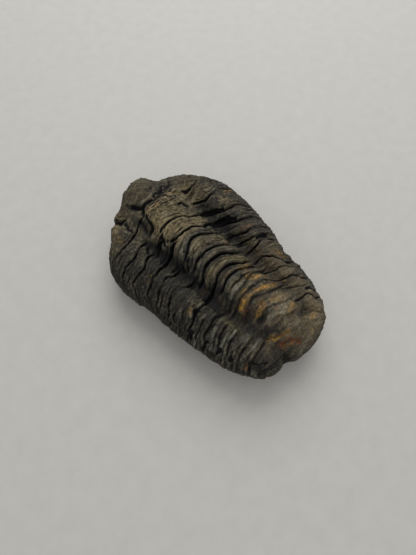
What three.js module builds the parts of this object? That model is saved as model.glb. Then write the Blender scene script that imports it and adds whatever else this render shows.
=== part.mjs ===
// An outstretched trilobite fossil lying on its underside: one weathered piece of dark stone.
// The head points along +Y, the back faces +Z and the animal's left flank faces -X.
import * as THREE from 'three';

// Driving sizes of the body, in millimetres, and the powers that shape its rounding.
const LENGTH = 63.2;
const WIDEST_HEIGHT = 7.0;
const AROUND_POWER = 2.35;
const FOOT_POWER = 3.2;
const END_POWER = 2.6;
const END_ROUNDING = 2.2;
const FOOT_FLATNESS = 1.14;

// How far the body reaches to each side of its middle plane, and the rise of its back above the
// widest line, before the ends are rounded off: [place along the body, size].
const LEFT_WIDTHS = [
  [-31.6, 21.6], [-25.3, 19.6], [-15.8, 18.3], [-4.7, 18.6], [2, 19.2], [8, 20.9], [15.8, 21.5],
  [25.3, 17.6], [31.6, 13],
];
const RIGHT_WIDTHS = [
  [-31.6, 20.4], [-25.3, 18.2], [-20, 17.3], [-15.8, 16.7], [-11, 16.1], [-4.7, 17.8], [6.3, 19.5],
  [15.8, 20.3], [25.3, 17], [31.6, 13],
];
const RISES = [[-31.6, 11.4], [-15.8, 10], [0, 9.9], [15.8, 10.5], [31.6, 13.4]];

// The two lengthwise furrows that part the middle lobe from the side lobes: [place along the
// body, distance from the middle plane], and one list of depths for both.
const LEFT_FURROW = [[-30, -3], [-26, -5.2], [-16, -7.5], [0, -8.8], [10, -9.6], [20, -9.6]];
const RIGHT_FURROW = [[-30, 3], [-26, 5], [-16, 6.3], [0, 6.5], [10, 6.7], [20, 6.7]];
const FURROW_DEPTHS = [[-30, 1], [-26, 1.5], [-16, 2.8], [0, 3.4], [10, 3.2], [20, 1.5]];
const FURROW_SPREAD = 2.6;

// The narrower cut in each furrow, where along the body it fades in from the tail and out towards
// the head, and how much it takes from the ribs' swelling and from their valleys.
const FURROW_CUT = 0.5;
const CUT_REACH = 1.7;
const CUT_TAIL = [-24, -17];
const CUT_HEAD = [9, 15];
const RIGHT_CUT_SHARE = 0.8;
const SWELL_LOSS = 0.8;
const VALLEY_LOSS = 0.5;

// Grooves across the back: depth of the crack, depth and reach of the valley behind it, then the
// line that it follows as [angle around the body in degrees, place along it in millimetres]. The
// crest is at 0, the left edge at -90 and the right edge at 90.
const GROOVES = [
  // Middle lobe, from the back of the head to the tail
  [0.35, 0.4, 0.9, [[-26, 24.5], [-20, 22.5], [-14, 20.5], [-8, 20], [0, 20.2], [8, 20.7], [16, 21.8],
    [24, 23.5]]],
  [0.35, 0.12, 0.6, [[-16, 16.2], [-10, 17], [-3, 17.2], [5, 16.8]]],
  [1.3, 0.12, 0.6, [[-14, 10.6], [-13.5, 11.6], [-9, 12.2], [-3, 12.5], [1, 11.6], [4, 9.9], [8, 9.6],
    [12, 9.9], [15, 10]]],
  [1.3, 0.12, 0.6, [[-20, 10.2], [-16, 9.6], [-13, 8.2], [-8, 7.7], [-3, 7.8], [1, 7.4], [3.5, 6.2],
    [5.5, 5.5], [9, 5.8], [13, 6.5]]],
  [0.9, 0.4, 0.6, [[-12, 2.8], [-9, 3.6], [-5, 4.6], [-1, 4.9], [2, 4], [5, 3.1], [9, 2.9], [14, 3.2]]],
  [1.1, 0.6, 0.7, [[-16, -1], [-12, 0], [-6, 0.3], [-1, 0.3], [3, -0.5], [7, -1], [11, -1.3],
    [17, 0.2]]],
  [1.1, 0.9, 0.8, [[-20, -4.7], [-16, -3.6], [-12, -2.9], [-6, -2.2], [-1, -2.2], [3, -3.1], [6, -4],
    [12, -4.4]]],
  [1.1, 0.9, 0.8, [[-27, -8], [-20, -7.8], [-15, -7.2], [-11, -6.4], [-6, -5.8], [-2, -5.8], [2, -6.6],
    [5, -7.4], [8, -7.8], [13, -7.7]]],
  [0.7, 0.8, 0.7, [[-14, -9.4], [-9, -8.6], [-3, -8.3], [3, -8.7], [9, -9.3], [14, -9.3]]],
  [0.5, 0.6, 0.6, [[-22, -13.5], [-14, -12.8], [-8, -12], [-2, -11.8], [4, -11.2], [10, -11],
    [20, -11.8]]],
  [0.5, 0.5, 0.6, [[-20, -15], [-13, -14], [-8, -13.6], [0, -13.3], [6, -13.7], [13, -14.2],
    [19, -14.5]]],
  [0.6, 0.5, 0.6, [[-20, -17.5], [-14, -17], [-8, -16], [-3, -15.6], [2, -16.6], [8, -17],
    [20, -17.3]]],
  [0.5, 0.5, 0.7, [[-14, -20], [-9, -20], [-4, -19.5], [3, -20.3], [10, -20.8], [17, -21]]],
  [0.3, 0.3, 0.6, [[-18, -23.5], [-9, -23.3], [0, -23.2], [8, -23.6]]],
  [0.4, 0.3, 0.6, [[-20, -24], [-12, -25.2], [-4, -25.9], [2, -26.4]]],
  [0.4, 0.3, 0.5, [[-14, -26.8], [-7, -27.3], [-2, -28.2]]],
  // Left side lobe
  [1.2, 0.5, 0.9, [[-68, 26.2], [-60, 25.5], [-52, 24.4], [-44, 23.6], [-38, 22.9], [-33, 21.8]]],
  [1.3, 0.4, 0.9, [[-100, 10.6], [-92, 11.5], [-82, 13], [-72, 14.5], [-65, 15.1], [-57, 15.5],
    [-50, 15.4], [-42, 15.4], [-34, 15.9], [-28, 16.6], [-20, 18.2]]],
  [0.4, 0.1, 0.5, [[-60, 13.5], [-52, 14], [-45, 13.6]]],
  [1.0, 0.4, 0.8, [[-100, 6.2], [-94, 7], [-84, 8.5], [-74, 10], [-66, 11], [-60, 11.2], [-47, 11.3],
    [-38, 11.6], [-34, 12.4], [-27, 13]]],
  [1.2, 0.6, 0.9, [[-100, 3], [-78, 5.6], [-70, 6.3], [-63, 7.3], [-54, 7.5], [-45, 7.5], [-40, 8],
    [-35, 8.8], [-27, 9.8], [-19, 9.6]]],
  [0.5, 0.1, 0.5, [[-96, 5.6], [-80, 7.6], [-70, 8.8], [-62, 9]]],
  [1.2, 0.5, 0.9, [[-100, -0.8], [-80, 1.2], [-70, 2.6], [-60, 3.5], [-52, 3.8], [-45, 4.3], [-38, 4.3],
    [-31, 5], [-20, 6.2], [-14, 7]]],
  [0.5, 0.1, 0.5, [[-98, 1.8], [-86, 3.2], [-76, 4.6], [-70, 5.2]]],
  [0.8, 0.3, 0.7, [[-98, -2.4], [-84, -1.4], [-72, -0.2], [-63, 0.4], [-54, 1.1], [-45, 1.5], [-36, 2],
    [-30, 1.6], [-25, 2]]],
  [0.7, 0.1, 0.5, [[-98, -3.6], [-88, -2.6], [-77, -1.6], [-67, -1.3], [-58, -0.7], [-52, -0.2]]],
  [1.0, 0.5, 0.8, [[-98, -6], [-82, -5], [-74, -4.2], [-66, -3.9], [-58, -2.9], [-50, -2], [-45, -1.6],
    [-38, -1.7], [-32, -2.4], [-24, -2.6]]],
  [0.6, 0.2, 0.6, [[-98, -7.8], [-90, -7.4], [-78, -6.8], [-70, -5.6], [-62, -5.2]]],
  [0.6, 0.2, 0.6, [[-98, -10.2], [-88, -9.6], [-76, -8.6], [-66, -8.2], [-60, -7.6], [-52, -6.8]]],
  [1.0, 0.5, 0.8, [[-98, -12.6], [-88, -12], [-76, -10.9], [-66, -10.1], [-56, -9.9], [-48, -9.2],
    [-43, -8.6], [-38, -8.9], [-30, -8.8], [-24, -8.4]]],
  [0.6, 0.3, 0.7, [[-98, -14], [-86, -13.4], [-74, -12.6], [-64, -12.3], [-54, -11.8], [-45, -11.2]]],
  [0.7, 0.6, 0.7, [[-98, -16], [-84, -15.4], [-72, -14.9], [-63, -14.1], [-55, -13.4], [-47, -13.3],
    [-39, -12.9], [-31, -12.8], [-24, -13]]],
  [0.7, 0.6, 0.7, [[-98, -19.8], [-84, -19.2], [-73, -18.5], [-65, -18], [-54, -17], [-45, -16.3],
    [-34, -15.8]]],
  [0.4, 0.1, 0.5, [[-96, -17.6], [-76, -17], [-66, -16.8], [-58, -16.2]]],
  [0.7, 0.6, 0.7, [[-98, -21.4], [-82, -20.8], [-70, -20.4], [-60, -20], [-52, -19.3], [-44, -18.9],
    [-36, -18.7], [-30, -18.5]]],
  [0.4, 0.1, 0.5, [[-98, -22.5], [-80, -22.2], [-70, -21.9], [-60, -21.2], [-52, -20.6]]],
  [0.7, 0.6, 0.7, [[-98, -23.8], [-88, -23.6], [-76, -23.5], [-64, -22.9], [-52, -22.3], [-40, -21.9],
    [-28, -21.6]]],
  [0.7, 0.5, 0.7, [[-98, -26.4], [-82, -26.1], [-72, -25.6], [-62, -25.3], [-54, -24.9], [-45, -24.8],
    [-35, -24.6], [-26, -24.2]]],
  [0.5, 0.2, 0.6, [[-96, -29], [-80, -28.8], [-64, -28.2], [-50, -28], [-36, -28.8], [-30, -29]]],
  // Right side lobe
  [0.6, 0.2, 0.5, [[20, 18], [24, 17.3], [30, 17.2], [36, 17.6]]],
  [1.1, 0.4, 0.8, [[18, 13.5], [20, 12.8], [23, 12.2], [28, 12], [34, 12.2], [42, 12.4], [50, 12],
    [60, 11], [72, 10], [84, 9], [98, 7.6]]],
  [0.5, 0.1, 0.5, [[48, 10.4], [60, 9.4], [84, 7.5], [98, 6]]],
  [1.2, 0.7, 1.0, [[14, 10], [17, 9.2], [21, 7.8], [25, 6.8], [30, 6.1], [36, 5.8], [42, 5.6], [50, 5],
    [60, 4], [72, 3], [86, 2], [98, 0.6]]],
  [0.5, 0.1, 0.5, [[46, 3.4], [60, 2.2], [80, 0.6], [98, -1]]],
  [1.0, 1.2, 1.3, [[13, 6.5], [16, 5.6], [18, 4.6], [24, 3.2], [29, 2.2], [34, 1.5], [41, 1.1],
    [48, 0.8], [54, 0.2], [64, -0.6], [76, -1.6], [88, -2.6], [98, -3.4]]],
  [1.0, 0.6, 0.9, [[18, 0.6], [21, -0.4], [25, -1.4], [30, -2], [36, -2.3], [45, -2.7], [52, -2.9],
    [60, -3.6], [72, -4.8], [86, -6], [98, -7]]],
  [0.9, 0.5, 0.8, [[20, -3], [27, -4], [32, -4.5], [36, -4.7], [41, -5.3], [46, -5.7], [54, -5.4],
    [62, -5.8], [74, -7], [88, -8.2], [98, -9.2]]],
  [0.9, 0.4, 0.7, [[20, -6], [28, -6.4], [36, -6], [42, -6.4], [48, -6.9], [54, -7.4], [62, -8],
    [74, -9.2], [88, -10.4], [98, -11.2]]],
  [1.2, 0.6, 0.9, [[21, -8.9], [27, -9.3], [32, -10.3], [36, -11], [41, -12], [47, -13], [52, -13.5],
    [60, -14], [72, -14.5], [88, -15], [98, -15.4]]],
  [0.6, 0.4, 0.7, [[19, -12.2], [24, -13.2], [30, -13.9], [37, -14.6], [45, -15.2], [56, -16],
    [70, -16.6], [88, -17.4], [98, -17.8]]],
  [0.8, 0.5, 0.8, [[20, -15], [23, -16], [28, -16.6], [34, -17.1], [41, -17.8], [47, -18.8],
    [56, -19.4], [70, -20], [86, -20.8], [98, -21.4]]],
  [0.5, 0.4, 0.7, [[20, -18], [25, -19.2], [32, -20.1], [38, -20.8], [46, -21.4], [56, -22],
    [70, -22.6], [86, -23.2], [98, -23.6]]],
  [0.9, 0.5, 0.8, [[20, -22.2], [28, -22.7], [34, -22.5], [41, -23.3], [48, -23.9], [54, -24.6],
    [64, -25], [78, -25.4], [98, -25.8]]],
  [0.4, 0.3, 0.7, [[18, -24.6], [23, -25.6], [29, -26.1], [35, -26.8], [44, -27.4], [56, -27.8]]],
];

// Lumps and hollows: the angle around the body, the place along it, how far the form reaches,
// and how far it stands out of the surface, or below it where that is negative.
const LUMPS = [
  [-8, 26, 6.5, 1.0],
  [-48, 27.5, 5, -0.9],
  [4, 29.5, 4, 0.4],
  [36, 22, 6, 0.5],
  [17, 26.5, 3, -1.4],
  [44, 28.6, 2.2, -1.0],
  [-46, 23, 1.6, -1.2],
  [-62, 25, 6, -0.5],
  [-66, 23.6, 2.2, 0.5],
  [-72, 21, 2.2, -0.4],
  [56, 26, 6, -1.1],
  [-19, 22, 1.3, -0.8],
  [-15, 19, 1.2, -0.6],
  [-17.5, 15, 1.8, -1.0],
  [8, 14.4, 1.1, -1.2],
  [21, 16, 1.2, -0.8],
  [24, 3.6, 2.4, -0.9],
  [-17, 8.6, 1.6, 0.6],
  [-40, -5.5, 5, 0.5],
  [5, -22.5, 4.5, 1.0],
  [40, -27, 5, 0.8],
  [-46, -27, 5, 0.8],
  [24.5, -25.2, 1.5, -0.9],
  [-10, -19.8, 1.3, -0.7],
  [-27, -29.6, 1.8, -2.0],
  [-59, -31, 1.8, -1.6],
  [-110, -31, 1.9, -1.7],
  [4, -28.5, 3.5, 0.5],
  [54, -14, 2, -1.0],
  [75, -15.8, 1.8, 0.35],
  [54, -24.6, 1.3, -1.0],
];

// The section of one groove: its valley lies a little behind the crack, and the rib before the
// crack is raised to a lip. Towards the edges of the body only a share of this is left.
const CRACK_REACH = 0.7;
const CRACK_SHARE = 0.55;
const VALLEY_SHARE = 0.45;
const VALLEY_LAG = 0.4;
const LIP_SHARE = 0.32;
const LIP_LEAD = 0.8;
const LIP_REACH = 0.6;
const EDGE_SHARE = 0.35;
const EDGE_ANGLES = [46, 76];

// How far a rib swells between two grooves, and how near a groove the swelling starts.
const RIB_SWELL = 0.24;
const RIB_SHOULDER = 0.9;
const GROOVE_FADE = 3;
const FAINT_VALLEY = 0.1;

// The rim along both lower edges, set off by a shallow line above it, and where along the body it
// fades in from the tail and out towards the head.
const RIM_ANGLE = 88;
const RIM_REACH = 4;
const RIM_RISE = 0.45;
const RIM_LINE_ANGLE = 79;
const RIM_LINE_REACH = 3;
const RIM_LINE_DEPTH = 0.4;
const RIM_TAIL = [-28, -20];
const RIM_HEAD = [-4, 4];

// Waviness of the grooves and roughness of the stone: [size of the waves, height], the coarse
// one first. The head and the broken band behind it are rougher.
const GROOVE_WAVES = [[2.4, 0.3]];
const STONE_WAVES = [[2.2, 0.3], [1.0, 0.16]];
const HEAD_START = [12, 18];
const PLAIN_ROUGHNESS = 0.3;
const HEAD_ROUGHNESS = 0.5;
const BAND_ROUGHNESS = 0.9;
const BAND = { angleReach: 34, along: 16.5, alongReach: 4.5 };

// The angle down each side where the relief of the back starts to fade out.
const RELIEF_END = 108;
const RELIEF_FADE = 14;

// The rings of points trail back from the crest as the ribs do: [angle, millimetres], and the
// share of it that is kept at each place along the body.
const TRAIL = [
  [-100, 8.5], [-60, 5], [-20, 2.6], [-3, 0], [6, 2.1], [14, 2.4], [22, 4.2], [36, 6.2], [60, 7.6],
  [100, 11],
];
const TRAIL_SHARE = [[-31.6, 0], [-24, 0.45], [-16, 0.55], [-6, 0.8], [5, 1], [16, 0.9], [31.6, 0]];

// Fineness of the faceted surface.
const RINGS_PER_HALF = 66;
const RING_CROWDING = 1.2;
const UPPER_STEPS = 30;
const LOWER_STEPS = 7;
const UPPER_REACH = 103;
const ALONG_STEP = 0.05;
const ANGLE_STEP = 0.5;

const HALF_LENGTH = LENGTH / 2;
const { smoothstep, lerp, degToRad } = THREE.MathUtils;

// A smooth curve through the given points, level beyond its two ends.
function smooth(points, at) {
  const last = points.length - 1;
  if (at <= points[0][0]) return points[0][1];
  if (at >= points[last][0]) return points[last][1];
  const i = points.findIndex((point, n) => n < last && at <= points[n + 1][0]);
  const [x0, y0] = points[i];
  const [x1, y1] = points[i + 1];
  const span = x1 - x0;
  const slope = (y1 - y0) / span;
  const before = i > 0 ? (y1 - points[i - 1][1]) / (x1 - points[i - 1][0]) : slope;
  const after = i + 1 < last ? (points[i + 2][1] - y0) / (points[i + 2][0] - x0) : slope;
  const t = (at - x0) / span;
  const rise = t * t * (3 - 2 * t);
  return y0 + (y1 - y0) * rise + span * t * (1 - t) * ((1 - t) * before - t * after);
}

function bell(distance, reach) {
  return Math.exp(-((distance / reach) ** 2));
}

// 1 between two places along the body, with a smooth rise from 0 over each of the two spans.
function between(at, start, end) {
  return smoothstep(at, ...start) * (1 - smoothstep(at, ...end));
}

// An even spread of values from -1 to 1 over the corners of a lattice.
function cornerValue(i, j, k, seed) {
  const mixed = Math.sin(i * 127.1 + j * 311.7 + k * 74.7 + seed * 53.3) * 43758.5453;
  return 2 * (mixed - Math.floor(mixed)) - 1;
}

// Smooth irregular waves from -1 to 1 that change over about the given size.
function waves(point, size, seed) {
  const cell = point.clone().divideScalar(size).floor();
  const t = point.clone().divideScalar(size).sub(cell);
  const [u, v, w] = [t.x, t.y, t.z].map((part) => smoothstep(part, 0, 1));
  let total = 0;
  for (const [i, share] of [[0, 1 - u], [1, u]]) {
    for (const [j, sideShare] of [[0, 1 - v], [1, v]]) {
      for (const [k, upShare] of [[0, 1 - w], [1, w]]) {
        const value = cornerValue(cell.x + i, cell.y + j, cell.z + k, seed);
        total += share * sideShare * upShare * value;
      }
    }
  }
  return total;
}

function layeredWaves(point, layers, seed) {
  return layers.reduce((sum, [size, height], n) => sum + height * waves(point, size, seed + n), 0);
}

// How much of its full section the body keeps at a place along it: 1 in the middle, 0 at the ends.
function fullness(along) {
  const inside = 1 - Math.abs(along / HALF_LENGTH) ** END_POWER;
  return Math.max(inside, 0) ** (1 / END_ROUNDING);
}

// The smooth body with its two wide furrows, before any groove or lump.
function bodyPoint(along, angle) {
  const turn = degToRad(angle);
  const side = Math.sin(turn);
  const up = Math.cos(turn);
  const full = fullness(along);
  const reach = smooth(side < 0 ? LEFT_WIDTHS : RIGHT_WIDTHS, along) * full;
  const x = Math.sign(side) * Math.abs(side) ** (2 / AROUND_POWER) * reach;
  if (up <= 0) {
    const drop = Math.min(1, FOOT_FLATNESS * Math.abs(up) ** (2 / FOOT_POWER));
    const level = Math.min(1, FOOT_FLATNESS * full);
    return new THREE.Vector3(x, along, WIDEST_HEIGHT * (1 - drop * level));
  }
  const furrows = bell(x - smooth(LEFT_FURROW, along), FURROW_SPREAD)
    + bell(x - smooth(RIGHT_FURROW, along), FURROW_SPREAD);
  const z = WIDEST_HEIGHT + up ** (2 / AROUND_POWER) * smooth(RISES, along) * full
    - smooth(FURROW_DEPTHS, along) * furrows * up * full;
  return new THREE.Vector3(x, along, z);
}

// The outward direction of the smooth body, from two short steps on it.
function outward(along, angle) {
  const across = bodyPoint(along, angle + ANGLE_STEP).sub(bodyPoint(along, angle - ANGLE_STEP));
  const ahead = bodyPoint(Math.min(along + ALONG_STEP, HALF_LENGTH), angle)
    .sub(bodyPoint(Math.max(along - ALONG_STEP, -HALF_LENGTH), angle));
  return across.cross(ahead).normalize();
}

// How much of the cut in one of the two furrows is felt at a point of the back, from 0 to 1.
function cutShare(point, angle) {
  if (Math.abs(angle) >= 90) return 0;
  const left = bell(point.x - smooth(LEFT_FURROW, point.y), CUT_REACH);
  const right = RIGHT_CUT_SHARE * bell(point.x - smooth(RIGHT_FURROW, point.y), CUT_REACH);
  return (left + right) * between(point.y, CUT_TAIL, CUT_HEAD);
}

// Cracks, valleys and lips of the grooves, with the ribs swelling between them.
function ribRelief(point, angle) {
  const along = point.y + layeredWaves(point, GROOVE_WAVES, 1);
  let crack = 0;
  let valley = 0;
  let lip = 0;
  let nearest = Infinity;
  for (const [crackDepth, valleyDepth, reach, line] of GROOVES) {
    const first = line[0][0];
    const last = line[line.length - 1][0];
    const past = Math.max(first - angle, angle - last, 0) / GROOVE_FADE;
    const fade = bell(past, 1);
    const ahead = along - smooth(line, angle);
    crack = Math.max(crack, crackDepth * bell(ahead, CRACK_REACH) * fade);
    valley = Math.max(valley, valleyDepth * bell(ahead + VALLEY_LAG, reach) * fade);
    lip = Math.max(lip, valleyDepth * bell(ahead - LIP_LEAD, LIP_REACH) * fade);
    if (valleyDepth > FAINT_VALLEY) {
      nearest = Math.min(nearest, Math.abs(ahead) + past * RIB_SHOULDER);
    }
  }
  const cut = cutShare(point, angle);
  const edge = lerp(1, EDGE_SHARE, smoothstep(Math.abs(angle), ...EDGE_ANGLES));
  const swell = RIB_SWELL * (1 - bell(nearest, RIB_SHOULDER)) * (1 - SWELL_LOSS * cut);
  const ribs = LIP_SHARE * lip * (1 - cut) - VALLEY_SHARE * valley * (1 - VALLEY_LOSS * cut);
  return (swell + ribs) * edge - CRACK_SHARE * crack - FURROW_CUT * cut;
}

function lumpRelief(point) {
  let total = 0;
  for (const [angle, along, reach, rise] of LUMPS) {
    total += rise * bell(point.distanceTo(bodyPoint(along, angle)), reach);
  }
  return total;
}

// The rim runs along the side lobes and dies out at the head and the tail.
function rimRelief(point, angle) {
  const side = Math.abs(angle);
  const rim = RIM_RISE * bell(side - RIM_ANGLE, RIM_REACH)
    - RIM_LINE_DEPTH * bell(side - RIM_LINE_ANGLE, RIM_LINE_REACH);
  return rim * between(point.y, RIM_TAIL, RIM_HEAD);
}

function roughRelief(point, angle) {
  const head = smoothstep(point.y, ...HEAD_START);
  const band = bell(angle, BAND.angleReach) * bell(point.y - BAND.along, BAND.alongReach);
  const strength = PLAIN_ROUGHNESS + HEAD_ROUGHNESS * head + BAND_ROUGHNESS * band;
  return layeredWaves(point, STONE_WAVES, 5) * strength;
}

// One point of the fossil's surface.
function fossilPoint(along, angle) {
  const point = bodyPoint(along, angle);
  const turn = angle > 180 ? angle - 360 : angle;
  const upper = smoothstep(RELIEF_END - Math.abs(turn), 0, RELIEF_FADE);
  const back = ribRelief(point, turn) * fullness(along) * upper + lumpRelief(point);
  const relief = back + rimRelief(point, turn) + roughRelief(point, turn) * (1 + upper) / 2;
  return point.addScaledVector(outward(along, angle), relief);
}

// Where a ring that starts at a place on the crest crosses the given angle.
function trailed(place, angle) {
  const turn = angle > 180 ? angle - 360 : angle;
  const under = (Math.abs(turn) - UPPER_REACH) / (180 - UPPER_REACH);
  const edge = smooth(TRAIL, turn);
  const keel = (TRAIL[0][1] + TRAIL[TRAIL.length - 1][1]) / 2;
  const trail = under > 0 ? lerp(edge, keel, under) : edge;
  return place - trail * smooth(TRAIL_SHARE, place);
}

// The angles around one ring, closer together over the back than under it.
function ringAngles() {
  const angles = [];
  for (let i = 0; i < UPPER_STEPS; i += 1) {
    angles.push(-UPPER_REACH + (2 * UPPER_REACH * i) / UPPER_STEPS);
  }
  for (let i = 0; i < LOWER_STEPS; i += 1) {
    angles.push(UPPER_REACH + ((360 - 2 * UPPER_REACH) * i) / LOWER_STEPS);
  }
  return angles;
}

// The places of the rings along the body, closer together towards the ends.
function ringPlaces() {
  const places = [];
  for (let i = 1 - RINGS_PER_HALF; i < RINGS_PER_HALF; i += 1) {
    const inner = 1 - (1 - Math.abs(i) / RINGS_PER_HALF) ** RING_CROWDING;
    places.push(Math.sign(i) * inner * HALF_LENGTH);
  }
  return places;
}

// Rings of points from tail to head, closed by one point at each end.
function fossilGeometry() {
  const angles = ringAngles();
  const places = ringPlaces();
  const points = [bodyPoint(-HALF_LENGTH, 0)];
  for (const place of places) {
    for (const angle of angles) points.push(fossilPoint(trailed(place, angle), angle));
  }
  points.push(bodyPoint(HALF_LENGTH, 0));

  const count = angles.length;
  const head = points.length - 1;
  const faces = [];
  for (let i = 0; i < count; i += 1) {
    const next = (i + 1) % count;
    faces.push(0, 1 + next, 1 + i);
    for (let ring = 0; ring < places.length - 1; ring += 1) {
      const a = 1 + ring * count;
      const b = a + count;
      faces.push(a + i, a + next, b + i, a + next, b + next, b + i);
    }
    faces.push(head, head - count + i, head - count + next);
  }

  const geometry = new THREE.BufferGeometry();
  geometry.setFromPoints(points);
  geometry.setIndex(faces);
  geometry.computeBoundingBox();
  const box = geometry.boundingBox;
  const centre = box.getCenter(new THREE.Vector3());
  geometry.translate(-centre.x, -centre.y, -box.min.z);
  geometry.computeVertexNormals();
  return geometry;
}

function stoneMaterial() {
  return new THREE.MeshStandardMaterial({ color: 0x4a463c, roughness: 0.82, metalness: 0 });
}

const trilobite = new THREE.Mesh(fossilGeometry(), stoneMaterial());
trilobite.name = 'trilobite';

const fossil = new THREE.Group();
fossil.add(trilobite);

export default fossil;
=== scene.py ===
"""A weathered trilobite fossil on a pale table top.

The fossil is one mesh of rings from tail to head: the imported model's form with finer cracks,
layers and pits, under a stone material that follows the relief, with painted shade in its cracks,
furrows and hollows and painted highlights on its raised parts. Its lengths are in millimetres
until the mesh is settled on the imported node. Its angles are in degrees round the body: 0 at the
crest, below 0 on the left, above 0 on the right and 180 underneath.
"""
import math

import bpy
import numpy as np
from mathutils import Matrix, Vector


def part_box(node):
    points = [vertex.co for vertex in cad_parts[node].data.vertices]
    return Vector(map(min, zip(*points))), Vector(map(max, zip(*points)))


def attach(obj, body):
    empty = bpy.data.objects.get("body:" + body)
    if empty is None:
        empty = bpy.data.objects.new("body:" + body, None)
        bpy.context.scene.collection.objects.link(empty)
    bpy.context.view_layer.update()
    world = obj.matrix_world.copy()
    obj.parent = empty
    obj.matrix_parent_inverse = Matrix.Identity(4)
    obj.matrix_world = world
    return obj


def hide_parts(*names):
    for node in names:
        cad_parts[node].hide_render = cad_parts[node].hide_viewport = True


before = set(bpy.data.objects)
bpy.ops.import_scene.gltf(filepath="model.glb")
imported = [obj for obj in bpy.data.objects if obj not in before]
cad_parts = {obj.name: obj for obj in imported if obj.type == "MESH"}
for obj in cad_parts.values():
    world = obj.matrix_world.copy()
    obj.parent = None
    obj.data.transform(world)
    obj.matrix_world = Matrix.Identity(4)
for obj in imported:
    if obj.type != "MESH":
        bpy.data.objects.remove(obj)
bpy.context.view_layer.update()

MM = 0.001

# The camera: a phone held about 10 cm off, seeing the left flank and the tail from above.
VIEW_AZIMUTH = -43.0
VIEW_ELEVATION = 65.0
VIEW_DISTANCE = 104.1
VIEW_TARGET = (-2.56, -2.16, 7.94)
FOCAL_LENGTH = 27.05
SENSOR_WIDTH = 36.0
NEAREST_SEEN = 0.005
FURTHEST_SEEN = 10

# The studio, in metres
SKY_COLOUR = (1.0, 0.98, 0.95, 1)
SKY_STRENGTH = 0.50
LAMP_PLACE = (0.220, 0.195, 0.34)
LAMP_SIZE = 0.40
LAMP_POWER = 0.93
LAMP_COLOUR = (1.0, 0.985, 0.95)
TABLE_SIZE = 6.0
TABLE_SHADES = ((0.60, 0.60, 0.58), (0.635, 0.635, 0.615))
TABLE_NOISE = (260, 5, 0.55)
TABLE_RANGE = (0.3, 0.7)
TABLE_ROUGHNESS = 0.7

# The body, in millimetres. Lists hold (place along the body, measure).
HALF_LENGTH = 31.6
WIDEST_HEIGHT = 7.0
AROUND_POWER = 2.35
FOOT_POWER = 3.2
END_POWER = 2.6
END_ROUNDING = 2.2
FOOT_FLATNESS = 1.14
LEFT_WIDTHS = [
    (-31.6, 21.6), (-25.3, 19.6), (-15.8, 18.3), (-4.7, 18.6), (2, 19.2), (8, 20.9), (15.8, 21.5),
    (25.3, 17.6), (31.6, 13),
]
RIGHT_WIDTHS = [
    (-31.6, 20.4), (-25.3, 18.2), (-20, 17.3), (-15.8, 16.7), (-11, 16.1), (-4.7, 17.8),
    (6.3, 19.5), (15.8, 20.3), (25.3, 17.0), (31.6, 13),
]
RISES = [(-31.6, 11.4), (-15.8, 10.0), (0, 9.9), (15.8, 10.5), (31.6, 13.4)]
LEFT_FURROW = [(-30, -3.0), (-26, -5.2), (-16, -7.5), (0, -8.8), (10, -9.6), (20, -9.6)]
RIGHT_FURROW = [(-30, 3.0), (-26, 5.0), (-16, 6.3), (0, 6.5), (10, 6.7), (20, 6.7)]
FURROW_DEPTHS = [(-30, 1.0), (-26, 1.5), (-16, 2.8), (0, 3.4), (10, 3.2), (20, 1.5)]
FURROW_SPREAD = 2.6

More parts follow.
